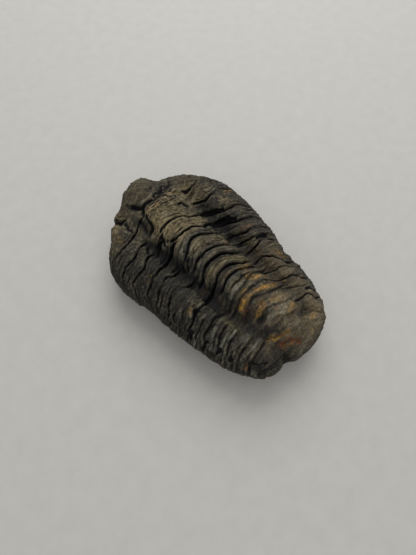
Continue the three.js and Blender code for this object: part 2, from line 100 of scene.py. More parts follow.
# Grooves: depth of the thin crack, depth and reach of the valley that it lies in, then points of
# (angle round the body, place along it).
GROOVES = [
    # Middle lobe
    (0.35, 1.5, 1.1, (-26, 24.5), (-20, 22.5), (-14, 20.5), (-8, 20), (0, 20.2), (8, 20.7), (16, 21.8),
        (24, 23.5)),
    (0.35, 0.12, 0.6, (-16, 16.2), (-10, 17), (-3, 17.2), (5, 16.8)),
    (1.3, 0.12, 0.6, (-14, 10.6), (-13.5, 11.6), (-9, 12.2), (-3, 12.5), (1, 11.6), (4, 9.9), (8, 9.6),
        (12, 9.9), (15, 10)),
    (1.3, 0.12, 0.6, (-20, 10.2), (-16, 9.6), (-13, 8.2), (-8, 7.7), (-3, 7.8), (1, 7.4), (3.5, 6.2),
        (5.5, 5.5), (9, 5.8), (13, 6.5)),
    (0.9, 0.4, 0.6, (-12, 2.8), (-9, 3.6), (-5, 4.6), (-1, 4.9), (2, 4), (5, 3.1), (9, 2.9), (14, 3.2)),
    (1.1, 0.6, 0.7, (-16, -1), (-12, 0), (-6, 0.3), (-1, 0.3), (3, -0.5), (7, -1), (11, -1.3),
        (17, 0.2)),
    (1.1, 0.9, 0.8, (-20, -4.7), (-16, -3.6), (-12, -2.9), (-6, -2.2), (-1, -2.2), (3, -3.1), (6, -4),
        (12, -4.4)),
    (1.1, 0.9, 0.8, (-27, -8), (-20, -7.8), (-15, -7.2), (-11, -6.4), (-6, -5.8), (-2, -5.8),
        (2, -6.6), (5, -7.4), (8, -7.8), (13, -7.7)),
    (0.7, 0.8, 0.7, (-14, -9.4), (-9, -8.6), (-3, -8.3), (3, -8.7), (9, -9.3), (14, -9.3)),
    (0.5, 0.6, 0.6, (-22, -13.5), (-14, -12.8), (-8, -12), (-2, -11.8), (4, -11.2), (10, -11),
        (20, -11.8)),
    (0.5, 0.5, 0.6, (-20, -15), (-13, -14), (-8, -13.6), (0, -13.3), (6, -13.7), (13, -14.2),
        (19, -14.5)),
    (0.6, 0.5, 0.6, (-20, -17.5), (-14, -17), (-8, -16), (-3, -15.6), (2, -16.6), (8, -17),
        (20, -17.3)),
    (0.5, 0.5, 0.7, (-14, -20), (-9, -20), (-4, -19.5), (3, -20.3), (10, -20.8), (17, -21)),
    (0.3, 0.3, 0.6, (-18, -23.5), (-9, -23.3), (0, -23.2), (8, -23.6)),
    (0.4, 0.3, 0.6, (-20, -24), (-12, -25.2), (-4, -25.9), (2, -26.4)),
    (0.4, 0.3, 0.5, (-14, -26.8), (-7, -27.3), (-2, -28.2)),
    # Left lobe
    (1.2, 0.5, 0.9, (-68, 26.2), (-60, 25.5), (-52, 24.4), (-44, 23.6), (-38, 22.9), (-33, 21.8)),
    (1.3, 0.4, 0.9, (-100, 10.6), (-92, 11.5), (-82, 13), (-72, 14.5), (-65, 15.1), (-57, 15.5),
        (-50, 15.4), (-42, 15.4), (-34, 15.9), (-28, 16.6), (-20, 18.2)),
    (0.4, 0.1, 0.5, (-60, 13.5), (-52, 14), (-45, 13.6)),
    (1.0, 0.4, 0.8, (-100, 6.2), (-94, 7), (-84, 8.5), (-74, 10), (-66, 11), (-60, 11.2), (-47, 11.3),
        (-38, 11.6), (-34, 12.4), (-27, 13)),
    (1.2, 0.6, 0.9, (-100, 3), (-78, 5.6), (-70, 6.3), (-63, 7.3), (-54, 7.5), (-45, 7.5), (-40, 8),
        (-35, 8.8), (-27, 9.8), (-19, 9.6)),
    (0.5, 0.1, 0.5, (-96, 5.6), (-80, 7.6), (-70, 8.8), (-62, 9)),
    (1.2, 0.5, 0.9, (-100, -0.8), (-80, 1.2), (-70, 2.6), (-60, 3.5), (-52, 3.8), (-45, 4.3),
        (-38, 4.3), (-31, 5), (-20, 6.2), (-14, 7)),
    (0.5, 0.1, 0.5, (-98, 1.8), (-86, 3.2), (-76, 4.6), (-70, 5.2)),
    (0.8, 0.3, 0.7, (-98, -2.4), (-84, -1.4), (-72, -0.2), (-63, 0.4), (-54, 1.1), (-45, 1.5),
        (-36, 2), (-30, 1.6), (-25, 2)),
    (0.7, 0.1, 0.5, (-98, -3.6), (-88, -2.6), (-77, -1.6), (-67, -1.3), (-58, -0.7), (-52, -0.2)),
    (1.0, 0.5, 0.8, (-98, -6), (-82, -5), (-74, -4.2), (-66, -3.9), (-58, -2.9), (-50, -2),
        (-45, -1.6), (-38, -1.7), (-32, -2.4), (-24, -2.6)),
    (0.6, 0.2, 0.6, (-98, -7.8), (-90, -7.4), (-78, -6.8), (-70, -5.6), (-62, -5.2)),
    (0.6, 0.2, 0.6, (-98, -10.2), (-88, -9.6), (-76, -8.6), (-66, -8.2), (-60, -7.6), (-52, -6.8)),
    (1.0, 0.5, 0.8, (-98, -12.6), (-88, -12), (-76, -10.9), (-66, -10.1), (-56, -9.9), (-48, -9.2),
        (-43, -8.6), (-38, -8.9), (-30, -8.8), (-24, -8.4)),
    (0.6, 0.3, 0.7, (-98, -14), (-86, -13.4), (-74, -12.6), (-64, -12.3), (-54, -11.8), (-45, -11.2)),
    (0.7, 0.6, 0.7, (-98, -16), (-84, -15.4), (-72, -14.9), (-63, -14.1), (-55, -13.4), (-47, -13.3),
        (-39, -12.9), (-31, -12.8), (-24, -13)),
    (0.7, 0.6, 0.7, (-98, -19.8), (-84, -19.2), (-73, -18.5), (-65, -18), (-54, -17), (-45, -16.3),
        (-34, -15.8)),
    (0.4, 0.1, 0.5, (-96, -17.6), (-76, -17), (-66, -16.8), (-58, -16.2)),
    (0.7, 0.6, 0.7, (-98, -21.4), (-82, -20.8), (-70, -20.4), (-60, -20), (-52, -19.3), (-44, -18.9),
        (-36, -18.7), (-30, -18.5)),
    (0.4, 0.1, 0.5, (-98, -22.5), (-80, -22.2), (-70, -21.9), (-60, -21.2), (-52, -20.6)),
    (0.7, 0.6, 0.7, (-98, -23.8), (-88, -23.6), (-76, -23.5), (-64, -22.9), (-52, -22.3), (-40, -21.9),
        (-28, -21.6)),
    (0.7, 0.5, 0.7, (-98, -26.4), (-82, -26.1), (-72, -25.6), (-62, -25.3), (-54, -24.9), (-45, -24.8),
        (-35, -24.6), (-26, -24.2)),
    (0.5, 0.2, 0.6, (-96, -29), (-80, -28.8), (-64, -28.2), (-50, -28), (-36, -28.8), (-30, -29)),
    # Right lobe
    (0.6, 0.2, 0.5, (20, 18), (24, 17.3), (30, 17.2), (36, 17.6)),
    (1.1, 0.4, 0.8, (18, 13.5), (20, 12.8), (23, 12.2), (28, 12), (34, 12.2), (42, 12.4), (50, 12),
        (60, 11), (72, 10), (84, 9), (98, 7.6)),
    (0.5, 0.1, 0.5, (48, 10.4), (60, 9.4), (84, 7.5), (98, 6)),
    (1.2, 0.7, 1.0, (14, 10), (17, 9.2), (21, 7.8), (25, 6.8), (30, 6.1), (36, 5.8), (42, 5.6),
        (50, 5), (60, 4), (72, 3), (86, 2), (98, 0.6)),
    (0.5, 0.1, 0.5, (46, 3.4), (60, 2.2), (80, 0.6), (98, -1)),
    (1.0, 1.2, 1.3, (13, 6.5), (16, 5.6), (18, 4.6), (24, 3.2), (29, 2.2), (34, 1.5), (41, 1.1),
        (48, 0.8), (54, 0.2), (64, -0.6), (76, -1.6), (88, -2.6), (98, -3.4)),
    (1.0, 0.6, 0.9, (18, 0.6), (21, -0.4), (25, -1.4), (30, -2), (36, -2.3), (45, -2.7), (52, -2.9),
        (60, -3.6), (72, -4.8), (86, -6), (98, -7)),
    (0.9, 0.5, 0.8, (20, -3), (27, -4), (32, -4.5), (36, -4.7), (41, -5.3), (46, -5.7), (54, -5.4),
        (62, -5.8), (74, -7), (88, -8.2), (98, -9.2)),
    (0.9, 0.4, 0.7, (20, -6), (28, -6.4), (36, -6), (42, -6.4), (48, -6.9), (54, -7.4), (62, -8),
        (74, -9.2), (88, -10.4), (98, -11.2)),
    (1.2, 0.6, 0.9, (21, -8.9), (27, -9.3), (32, -10.3), (36, -11), (41, -12), (47, -13), (52, -13.5),
        (60, -14), (72, -14.5), (88, -15), (98, -15.4)),
    (0.6, 0.4, 0.7, (19, -12.2), (24, -13.2), (30, -13.9), (37, -14.6), (45, -15.2), (56, -16),
        (70, -16.6), (88, -17.4), (98, -17.8)),
    (0.8, 0.5, 0.8, (20, -15), (23, -16), (28, -16.6), (34, -17.1), (41, -17.8), (47, -18.8),
        (56, -19.4), (70, -20), (86, -20.8), (98, -21.4)),
    (0.5, 0.4, 0.7, (20, -18), (25, -19.2), (32, -20.1), (38, -20.8), (46, -21.4), (56, -22),
        (70, -22.6), (86, -23.2), (98, -23.6)),
    (0.9, 0.5, 0.8, (20, -22.2), (28, -22.7), (34, -22.5), (41, -23.3), (48, -23.9), (54, -24.6),
        (64, -25), (78, -25.4), (98, -25.8)),
    (0.4, 0.3, 0.7, (18, -24.6), (23, -25.6), (29, -26.1), (35, -26.8), (44, -27.4), (56, -27.8)),
]

# Lumps and hollows: angle, place, reach, and rise out of the surface.
LUMPS = [
    (-8, 26, 6.5, 1.0), (-48, 27.5, 5, -0.9), (4, 29.5, 4, 0.4), (36, 22, 6, 0.5),
    (17, 26.5, 2.6, -1.3), (44, 28.6, 2.2, -1.0), (-46, 23, 1.6, -1.2), (-62, 25, 6, -0.5),
    (-66, 23.6, 2.2, 0.5), (-68, 26.4, 1.6, 0.8), (-63, 24.9, 0.9, -0.9), (-72, 21, 2.2, -0.4),
    (56, 26, 6, -1.1), (-19, 22, 1.3, -0.6), (-15, 19, 1.2, -0.6), (-17.5, 15, 1.8, -1.0),
    (21, 16, 1.2, -0.8), (24, 3.6, 2.4, -0.9), (-17, 8.6, 1.6, 0.6), (-40, -5.5, 5, 0.5),
    (5, -22.5, 4.5, 1.0), (40, -27, 5, 0.8), (-46, -27, 5, 0.8), (24.5, -25.2, 1.5, -0.9),
    (-10, -19.8, 1.3, -0.7), (-27, -29.6, 1.8, -2.0), (-86, -27.6, 2.6, 0.6), (-59, -31, 1.8, -1.6),
    (-110, -31, 1.9, -1.7), (4, -28.5, 3.5, 0.5), (54, -14, 2, -1.0), (75, -15.8, 1.8, 0.35),
    (54, -24.6, 1.3, -1.0),
]

# Short cracks and pits: depth, reach, and the line that each follows as points of (angle, place).
SHORT_CRACKS = [
    # Head and the flaked band
    (0.8, 0.45, (-22, 22.6), (-20, 22.8), (-18.5, 21.8)),
    (1.0, 0.35, (-18.5, 21.8), (-16, 20.9), (-12, 20.2)),
    (0.8, 0.3, (-12, 20.2), (-4, 20.3)),
    (0.9, 0.3, (-13.2, 20), (-14.4, 19.2), (-16, 18.3)),
    (0.7, 0.4, (-1, 20.6), (4, 20.8), (8, 21.6)),
    (0.6, 0.3, (3.5, 19.2), (6, 17.6), (9, 17.2)),
    (0.5, 0.25, (-11, 18), (-6, 17.2), (0, 17.4)),
    (0.5, 0.25, (10, 18.6), (15, 18.2)),
    (1.0, 0.45, (18.5, 17.4), (21, 17.2)),
    (0.6, 0.3, (21, 17.3), (30, 17.4)),
    (1.2, 0.45, (6, 14.8), (8, 14.4), (9.6, 13.3)),
    (0.8, 0.45, (-35, 21.4), (-32, 19), (-29, 17.6)),
    (1.1, 0.4, (-76, 25.8), (-62, 25), (-54, 24.3), (-48, 23.5)),
    (0.6, 0.25, (-8, 19.6), (-4, 19.4), (0, 19.8)),
    (0.6, 0.25, (-10, 18.9), (-5, 18.5), (-1, 18.7)),
    (0.6, 0.25, (4, 20), (9, 19.4), (12, 19.6)),
    (0.6, 0.25, (11, 17.4), (16, 17.6)),
    # Left furrow
    (0.7, 0.4, (-14, 17.8), (-14.5, 15.4), (-17, 14.2), (-20, 13.7)),
    (0.5, 0.6, (-20, 17.8), (-20, 15)),
    (1.1, 0.35, (-14.3, 11), (-15.2, 9.8), (-16.4, 8.6)),
    (0.8, 0.4, (-19.5, 9.6), (-24, 9)),
    (0.8, 0.4, (-25.5, 11.8), (-28, 10.7)),
    (1.0, 0.45, (-15, 6.8), (-20, 6)),
    (0.7, 0.3, (-12.5, 3.6), (-15.5, 2.2)),
    (0.9, 0.4, (-20.5, 1.6), (-22, 0.9)),
    (0.9, 0.4, (-17, -4), (-22, -4.6)),
    (0.7, 0.3, (-14, 1.8), (-19, 0.4)),
    (0.6, 0.3, (-18, -2.4), (-25, -3.2)),
    (0.6, 0.3, (-20, 3.6), (-26, 3)),
    (0.8, 0.5, (-17, -7.2), (-22, -8)),
    # Right furrow and lobe
    (1.0, 0.5, (16, 9.9), (19, 9), (23, 7.9), (28, 6.8)),
    (1.1, 0.8, (17, 5.9), (21, 4.8), (25, 4)),
    (1.0, 0.5, (25, 3.8), (31, 2.6)),
    (0.9, 0.5, (34, -5), (42, -5.3), (48, -5.6)),
    (0.8, 0.35, (47, -6.8), (56, -7.5)),
    # Middle lobe and tail
    (0.5, 0.32, (-18, -11.8), (-12.5, -10.9), (-7, -10.4), (-2, -10.1), (5, -10.4)),
    (0.25, 0.5, (7.5, -14.7), (12, -14.8)),
    (0.35, 0.4, (5, -17.3), (11, -17.1)),
    (0.25, 0.8, (-13, -17.3), (-18, -17.7)),
    (0.3, 0.8, (-6, -19.9), (-14, -20.4)),
    (0.2, 0.9, (-12, -22.8), (-19, -23)),
    (0.25, 1.0, (12, -24.7), (18, -24.8)),
    (0.3, 0.6, (23, -24.9), (27, -25.3)),
    (0.9, 0.4, (40, -21.8), (50, -22.2), (57, -22.8), (66, -23.8)),
    # Left lobe
    (0.9, 0.5, (-41, -8.8), (-46, -9.1)),
    (1.0, 0.6, (-66, -11), (-80, -11.3)),
    (0.9, 0.5, (-64, -14.9), (-84, -15.1)),
    (0.8, 0.5, (-61, -18.4), (-73, -18.4)),
    (0.8, 0.4, (-55, -20.7), (-70, -21.4)),
    (0.4, 0.6, (-53, -24.4), (-60, -25.2)),
    (0.8, 0.4, (-65, -25.6), (-92, -26.2)),
    (0.5, 0.35, (-55, -24.6), (-51, -25.9), (-44, -27.2)),
    (0.5, 0.35, (-72, -27.2), (-60, -27.6), (-52, -28.6)),
]

# The shape of a groove: a crack in a valley, a raised lip and a hairline ahead of it, and a rib
# that swells between it and the next one.
RIB_SWELL = 0.20
RIB_SHOULDER = 0.70
RIB_VALLEY = 0.15
CRACK_REACH = 0.27
SIDE_NARROWING = 0.06
NARROW_ANGLES = (16, 30)
HAIRLINE_LEAD = 1.0
HAIRLINE_REACH = 0.2
HAIRLINE_SHARE = 0.8
GROOVE_FADE = 3.0
VALLEY_SHARE = 0.25
VALLEY_LAG = 0.4
LIP_SHARE = 0.20
LIP_LEAD = 0.8
LIP_REACH = 0.6

# The cut that deepens both furrows
FURROW_CUT = 0.5
CUT_REACH = 1.7
CUT_TAIL = (-24, -17)
CUT_HEAD = (9, 15)
CUT_ANGLE = 90
RIGHT_CUT_SHARE = 0.8

# The rim along both lower edges, set off by a shallow line above it
RIM_ANGLE = 88
RIM_REACH = 4
RIM_RISE = 0.45
RIM_LINE_ANGLE = 79
RIM_LINE_REACH = 3
RIM_LINE_DEPTH = 0.4
RIM_TAIL = (-28, -20)
RIM_HEAD = (-4, 4)

# Zones of the body, each from where it starts to where it is full: places along the body, angles
# round it, or angles to both sides alike.
ZONES = {
    "over": {"both": (108, 94)},
    "lobes": {"both": (16, 26)},
    "flanks": {"both": (46, 76)},
    "low_sides": {"both": (60, 84)},
    "side_plates": {"both": (22, 30), "along": (-9, -2)},
    "front_plates": {"along": (4, 9)},
    "head": {"both": (108, 94), "along": (12, 18)},
    "rear": {"along": (-2, -9)},
    "rear_end": {"along": (-9, -17)},
    "rear_left": {"angle": (-24, -32), "along": (-5, -11)},
    "front_left": {"angle": (-22, -28), "along": (-3, 3)},
    "front_low": {"angle": (-62, -76), "along": (-3, 3)},
}
FRONT_PLATE_SHARE = 0.8
BAND_ANGLE = 34
BAND_PLACE = 16.5
BAND_REACH = 4.5

# The share of each form that a zone takes away. Below 0, the zone adds to the form.
LOSSES = {
    "wobble": {"rear_left": 0.5},
    "breaks": {"rear_left": 0.7, "front_left": 0.5},
    "cracks": {"low_sides": 0.35, "rear_right": 0.55, "rear_left": 0.4, "front_low": 0.6},
    "swell": {"flanks": 0.65, "furrows": 0.8},
    "lips": {"flanks": 0.65, "furrows": 1, "rear_left": -0.6},
    "valleys": {"flanks": 0.65, "furrows": 0.5, "rear_left": -0.6},
    "hairlines": {"tail": 0.7, "rear_left": -0.3},
    "splits": {"tail": 0.6, "plates": 0.4, "head": 1, "rear": 0.6},
    "veins": {"tail": 0.6},
    "strata": {"plates": 0.7},
    "steps": {"tail": 0.7, "head": 0.6},
    "fibres": {"tail": 0.7, "plates": 0.7},
    "flakes": {"tail": 0.5},
    "grit": {"plates": -0.5},
}

# Noise, as layers of (strength, size in millimetres, seed)
WOBBLE = [(0.30, 2.4, 1), (0.18, 0.9, 2)]
FRONT_WOBBLE = [(0.14, 0.5, 22)]
STRATA = [(0.20, 1.5, 3), (0.18, 0.7, 4)]
FLAKES = [(0.27, 2.2, 5), (0.1485, 1.0, 6)]
GRIT = [(0.10, 0.55, 7), (0.06, 0.32, 8)]
UNDERSIDE = [(0.18, 3.4, 9)]
STEADY = [(0.8, 3.0, 10)]
FIBRES = [(0.06, 0.34, 11)]
SPLITS = [(1, 1.3, 12)]
SPLIT_FIELD = [(1, 3.2, 13)]
VEINS = [(1, 1.9, 17), (0.45, 0.8, 21)]
VEIN_FIELD = [(1, 2.6, 18)]
BROKEN = [(1.5, 2.4, 19)]
TRACE_FIELD = [(1, 2.0, 20)]
RAGGED_SIZE = 1.1
RAGGED_SEEDS = (14, 15, 16)
CRACK_RAGGEDNESS = 0.35

# How noise is read: limits of a crack's depth, reaches of fine lines, and the span of noise over
# which they come to show
STEADY_LIMITS = (0.6, 1.4)
BROKEN_MEAN = 0.85
BROKEN_LIMITS = (0.05, 1.3)
SPLIT_REACH = 0.09
SPLIT_COVER = (-0.25, 0.35)
VEIN_REACH = 0.12
VEIN_COVER = (0.0, 0.4)
TRACE_COVER = (-0.35, 0.25)
FINE_DEPTH = 0.28

# Flaked layers, in steps along the ribs and in rougher steps where plates have come off
GIRTH_RADIUS = 16
LAYER_STRETCH = 4.5
STEP_FLAT = 0.7
STRATA_STEP = 0.09
FLAKE_STEP = 0.16
FLAKE_SHARES = {"over": 0.35, "band": 0.7, "head": 0.3}

# Patches of colour: angle, place, reach round the body, reach along it, strength.
TAN_PATCHES = [
    (-6, 14.5, 17, 3.0, 1.0), (-4, 19, 16, 1.6, 0.8), (-6, 10, 9, 2.2, 1.0), (7, 8, 7, 1.6, 0.7),
    (-12, 26.5, 28, 4, 0.4), (40, 22, 24, 5, 0.3), (-58, 25, 14, 3, 0.5), (-5, 6.2, 8, 1.3, 0.9),
    (-4, 2.6, 6, 1.6, 0.8), (10, 1.2, 6, 1.6, 0.5), (-56, 17.5, 13, 2.0, 0.5),
    (-57, 21.5, 12, 2.4, 0.6), (24, 14, 10, 1.5, 0.7), (34, 8.5, 8, 1.3, 0.6),
    (-5, -1.0, 14, 0.6, 0.5), (-4, -4.6, 14, 0.8, 0.8), (0, -7.6, 14, 0.7, 0.6),
    (-2, -10.6, 12, 0.7, 0.6), (52, -9, 14, 5, 0.25), (20, 17.5, 8, 1.6, 0.9),
    (-36, 22, 10, 2.4, 0.4), (-50, 21.5, 9, 2.2, 0.35),
]
TAIL_PATCHES = [
    (6, -15, 16, 4.5, 0.4), (34, -12, 22, 6, 0.6), (8, -22, 24, 3.6, 0.85), (30, -27, 34, 4.5, 1.0),
    (-30, -25.5, 20, 2.5, 0.5), (25, -19.5, 25, 1.2, 0.7), (34, -16, 16, 0.7, 0.6),
]
PATCH_LIMIT = 1.2

# Strokes of colour: strength, reach, and the line that each follows as points of (angle, place).
SHADE_AND_DARK_STROKES = [
    # Furrows and side lobes: painted shade in the furrows, in the head's folds and notch and down
    # the left flank, with darker patches of stone
    (0.95, 1.4, (-21, 18), (-20.5, 15.4), (-23, 12)),
    (0.4, 0.6, (-24, 23), (-19, 22), (-13, 20.8)),
    (0.5, 0.8, (2, 21), (10, 22.4), (13, 24)),
    (0.9, 1.0, (-24, 9.4), (-20, 8.9)),
    (0.75, 1.6, (-22, 7), (-20, 4.5), (-21, -0.7), (-26, -7.6), (-27, -11.3)),
    (0.45, 1.3, (-12, -1), (-14, -5)),
    (0.45, 2.2, (-38, -2), (-42, -5.5)),
    (0.45, 3.0, (-36, 7), (-36, -4)),
    (0.4, 4.0, (-50, 10), (-52, 2)),
    (0.35, 4.0, (-60, -4), (-60, -12)),
    (0.55, 3.5, (-80, 15), (-84, 8), (-86, -4)),
    (0.25, 3.0, (44, -4), (50, -12)),
    (0.6, 0.9, (18, 12), (24, 10.5)),
    (0.8, 0.8, (17, 9.6), (23, 8), (29, 7)),
    (1.0, 0.9, (18, 5.8), (24, 4.6), (31, 3.2)),
    (0.5, 1.0, (20, -1), (26, -3)),
    (0.6, 0.9, (19.5, 3.6), (18, 1.6), (20, -0.8)),
    (0.55, 0.5, (27, -16.2), (35, -17.4), (46, -18.4)),
    (0.3, 2.4, (-46, 17.6), (-54, 16.4), (-58, 13.6)),
    (0.5, 1.8, (-36, 1.5), (-43, -0.5)),
    (0.5, 0.9, (12, 24), (13, 20.5)),
    # Middle lobe and tail: painted shade along the grooves and creases, with darker patches of stone
    (0.7, 0.45, (-12, 3.8), (-8, 4.3), (-3, 4.6), (1, 4.0), (4, 3)),
    (0.7, 0.6, (-18, -0.9), (-10, -0.5), (0, -0.5), (5, -1.5)),
    (0.7, 0.7, (-9, 4.4), (-5, 5.3), (-1, 5.5), (3, 4.5), (8, 3.7)),
    (0.5, 0.5, (-16, -3.8), (-8, -2.8), (0, -2.8), (6, -4.3)),
    (0.8, 1.3, (-16, -7), (-15, -10), (-15, -12.6)),
    (0.75, 0.6, (-14, -7.4), (-8, -6.7), (-2, -6.4), (2, -7)),
    (0.6, 0.35, (-12, -9), (-5, -8.8), (-1, -9)),
    (0.6, 0.35, (-17, -11.6), (-12, -10.8), (-7, -10.4), (-2, -10.1), (3, -10.3)),
    (0.6, 0.6, (8, -14.8), (12, -14.9)),
    (0.65, 0.6, (5, -17.3), (12, -17.1)),
    (0.5, 0.7, (-8, -15.9), (-1, -16)),
    (0.8, 0.9, (-13, -17.4), (-19, -17.6)),
    (0.75, 0.9, (-5, -20), (-13, -20.4)),
    (0.75, 1.1, (-11, -22.6), (-22, -23)),
    (0.3, 0.6, (-2, -22.8), (4, -23.6)),
    (0.8, 1.1, (10, -24.6), (19, -24.8)),
    (0.6, 0.8, (24, -22.5), (26, -24.2)),
    (0.5, 0.35, (-18, -21.8), (-12, -22)),
    (1.0, 0.85, (-17, -22.8), (-11.6, -23.7), (-5.5, -24.3)),
    (1.0, 0.8, (-23, -25.7), (-15.5, -26.1)),
    (0.9, 0.7, (-20, -27.6), (-13, -28.3)),
    (0.8, 0.45, (-55, -24.4), (-51, -25.7), (-43, -27.2), (-35, -28.5)),
    (0.75, 2.2, (-25, -27), (-40, -28.4)),
    (0.75, 2.0, (-44, -26), (-64, -27.6)),
    (0.45, 1.6, (-24, -20), (-36, -20), (-44, -19)),
    (0.5, 1.6, (-20, -21), (-30, -23.8)),
    # Left lobe: painted shade along the cracks
    (0.8, 0.7, (-66, -11), (-80, -11.2)),
    (0.8, 0.6, (-64, -15), (-84, -15)),
    (0.7, 0.6, (-60, -18.4), (-73, -18.4)),
    (0.7, 0.8, (-52, -24.6), (-60, -25)),
    (0.9, 0.5, (-41, -8.7), (-46, -9)),
]
CREAM_AND_HIGHLIGHT_STROKES = [
    # Head and the flaked band
    (0.9, 0.6, (-12, 18.4), (-6, 19), (0, 19.1)),
    (0.9, 0.35, (-3, 20.1), (3, 19.9)),
    (0.5, 1.2, (4, 27.6), (12, 27)),
    (0.7, 0.4, (0, 18.8), (6, 18.4), (12, 18.2)),
    (0.45, 0.8, (-6, 13.8), (2, 14.2)),
    (0.9, 0.4, (3, 19.3), (8, 19), (13, 18.9)),
    (0.8, 0.35, (6, 20.6), (11, 20.9)),
    (0.9, 0.45, (9, 16), (14, 16.2), (20, 17)),
    (0.6, 0.6, (20, 15.4), (30, 14), (38, 13.2)),
    (0.6, 0.4, (30, 9.8), (38, 9.6), (46, 9.2)),
    (0.6, 0.8, (-50, 22), (-58, 22.6)),
    # Middle lobe and tail
    (0.9, 0.5, (-18.6, 9.4), (-16.4, 7.8)),
    (0.6, 0.5, (-14.5, 11)),
    (0.7, 0.8, (-10, 2.8), (-3, 2.6), (1, 1.6)),
    (0.5, 0.35, (-9, -1.7), (0, -1.7)),
    (0.6, 0.4, (-16, -4.8), (-8, -4.4), (0, -5)),
    (0.5, 0.5, (6, -6), (14, -6.4)),
    (0.6, 0.3, (-9, -8.1), (-2, -8)),
    (0.6, 0.4, (-12, -11.7), (-6, -11.2), (0, -11.2)),
    (0.6, 1.0, (-9, -21.8), (0, -21.9), (4, -21)),
    (0.6, 0.8, (0, -25.4), (8, -27)),
    # Painted light from the table on the tail's lower end
    (0.9, 1.6, (-10, -30.2), (0, -30.4), (16, -29.6), (40, -28.4)),
    (0.6, 0.4, (-14, -28.4), (-5, -28.5)),
    (0.6, 0.5, (21, -7.4)),
    # Left lobe: cream specks, and painted highlights along the ribs
    (1.0, 0.3, (-64, -25.2), (-68, -26), (-80, -26.8)),
    (0.7, 0.3, (-53, -29.2), (-66, -28.8)),
    (0.6, 0.35, (-24.5, 2.6), (-30, 2.9)),
    (0.5, 0.4, (-19, -1.6), (-24, -2.2)),
    (0.5, 0.35, (-22, -6.2), (-28, -7)),
    (0.5, 0.5, (-45, 5.3), (-54, 5)),
    (0.9, 0.6, (-42, -7.4), (-47, -8.0), (-50, -8.9)),
    (0.5, 0.4, (-38, -6.6), (-42, -7.2)),
    (0.5, 0.3, (-33, -14), (-44, -15), (-55, -16.2), (-62, -17.4)),
    (0.5, 0.3, (-33, -17.6), (-38, -18.3)),
    (0.7, 0.4, (-50, -18.6), (-70, -19.1)),
    (0.6, 0.5, (-74, -18.8), (-80, -18.8)),
    (0.5, 0.3, (-27, -20.4), (-35, -20.7)),
    (0.6, 0.3, (-53, -21.2), (-60, -21.6)),
    (0.6, 0.4, (-24, -22.9), (-36, -22.9), (-48, -23.4)),
]
GREY_AND_HIGHLIGHT_STROKES = [
    # Middle lobe: grey stone, and painted highlights along the ribs
    (0.9, 0.35, (-16, -2.2), (-12, -1.2), (-6, -0.6), (0, -0.5)),
    (0.5, 0.4, (-14, -3.4), (-10, -2.6)),
    (0.9, 0.4, (-15, -9.8), (-10, -9), (-5, -8.7), (0, -8.9)),
    (1.1, 0.4, (-13, -12.1), (-9, -11.5), (-3, -11.1), (0, -11.2)),
    (0.6, 0.8, (-12, 3.8), (-6, 5.6), (2, 5)),
    (0.6, 0.5, (4, -13.6), (10, -13.6)),
    (0.5, 0.9, (-6, -21.6), (-2, -20.4)),
    (0.4, 1.0, (2, -22), (10, -21)),
    (0.6, 0.9, (-5, -20.6), (0, -19.8), (3, -20.8)),
    # Left lobe: painted highlights along the rib ridges
    (1.2, 0.5, (-33, -17.9), (-40, -18.3)),
    (1.2, 0.5, (-27, -20.3), (-34, -20.6)),
    (1.2, 0.5, (-26, -22.9), (-36, -23)),
    (0.8, 0.35, (-44, -14.4), (-56, -15.6), (-70, -16.6)),
    (0.9, 0.35, (-44, -17.4), (-56, -18.2), (-72, -19.2)),
    (0.8, 0.35, (-46, -20), (-60, -20.9), (-76, -21.6)),
    (0.8, 0.35, (-50, -22.6), (-64, -23.4), (-80, -23.8)),
    (0.7, 0.35, (-56, -10.6), (-70, -11.8), (-84, -12.8)),
    (0.9, 0.35, (-66, -26.4), (-80, -27)),
]
OLIVE_STROKES = [
    (0.9, 0.6, (-16, -6), (-12, -5), (-6, -4), (-1, -3.8), (4, -4.8)),
    (0.6, 0.5, (-8, -7.4), (0, -7.4)),
    (0.8, 0.8, (-16, -14), (-10, -12.6), (-2, -12)),
    (0.7, 1.0, (4, -6.2), (14, -6.6)),
    (0.6, 1.2, (-30, -24), (-30, -17), (-26, -13)),
    (0.6, 0.8, (18, 0), (26, -4), (28, -8)),
    (0.5, 1.0, (-12, 13), (-12, 16)),
]
BROWN_STROKES = [
    (0.8, 0.9, (-18, -9), (-20, -13)),
    (0.7, 0.6, (-21, -5), (-24, -6.5)),
    (0.7, 0.6, (-19, 2.6), (-22, 1.6)),
    (0.8, 0.7, (-12, -16.2), (-20, -17)),
    (0.8, 0.6, (-7, -17), (-13, -18)),
    (0.7, 0.5, (-6, -20.8), (4, -20.6), (12, -20)),
    (1.3, 0.45, (-9, -22.9), (-5, -22), (1, -23.2), (5, -23.8)),
    (0.7, 0.4, (6, 0.2), (12, -0.2), (16, -0.8)),
    (0.5, 0.5, (4, 3.4), (13, 3.6)),
    (0.6, 0.8, (-50, -24), (-60, -24.8)),
    (0.6, 0.5, (20, -10), (34, -12)),
    (0.6, 1.0, (-20, -25), (-12, -26.4)),
    (0.6, 0.8, (34, 6.4), (46, 6)),
    (0.5, 1.0, (-84, 3), (-84, -6)),
]
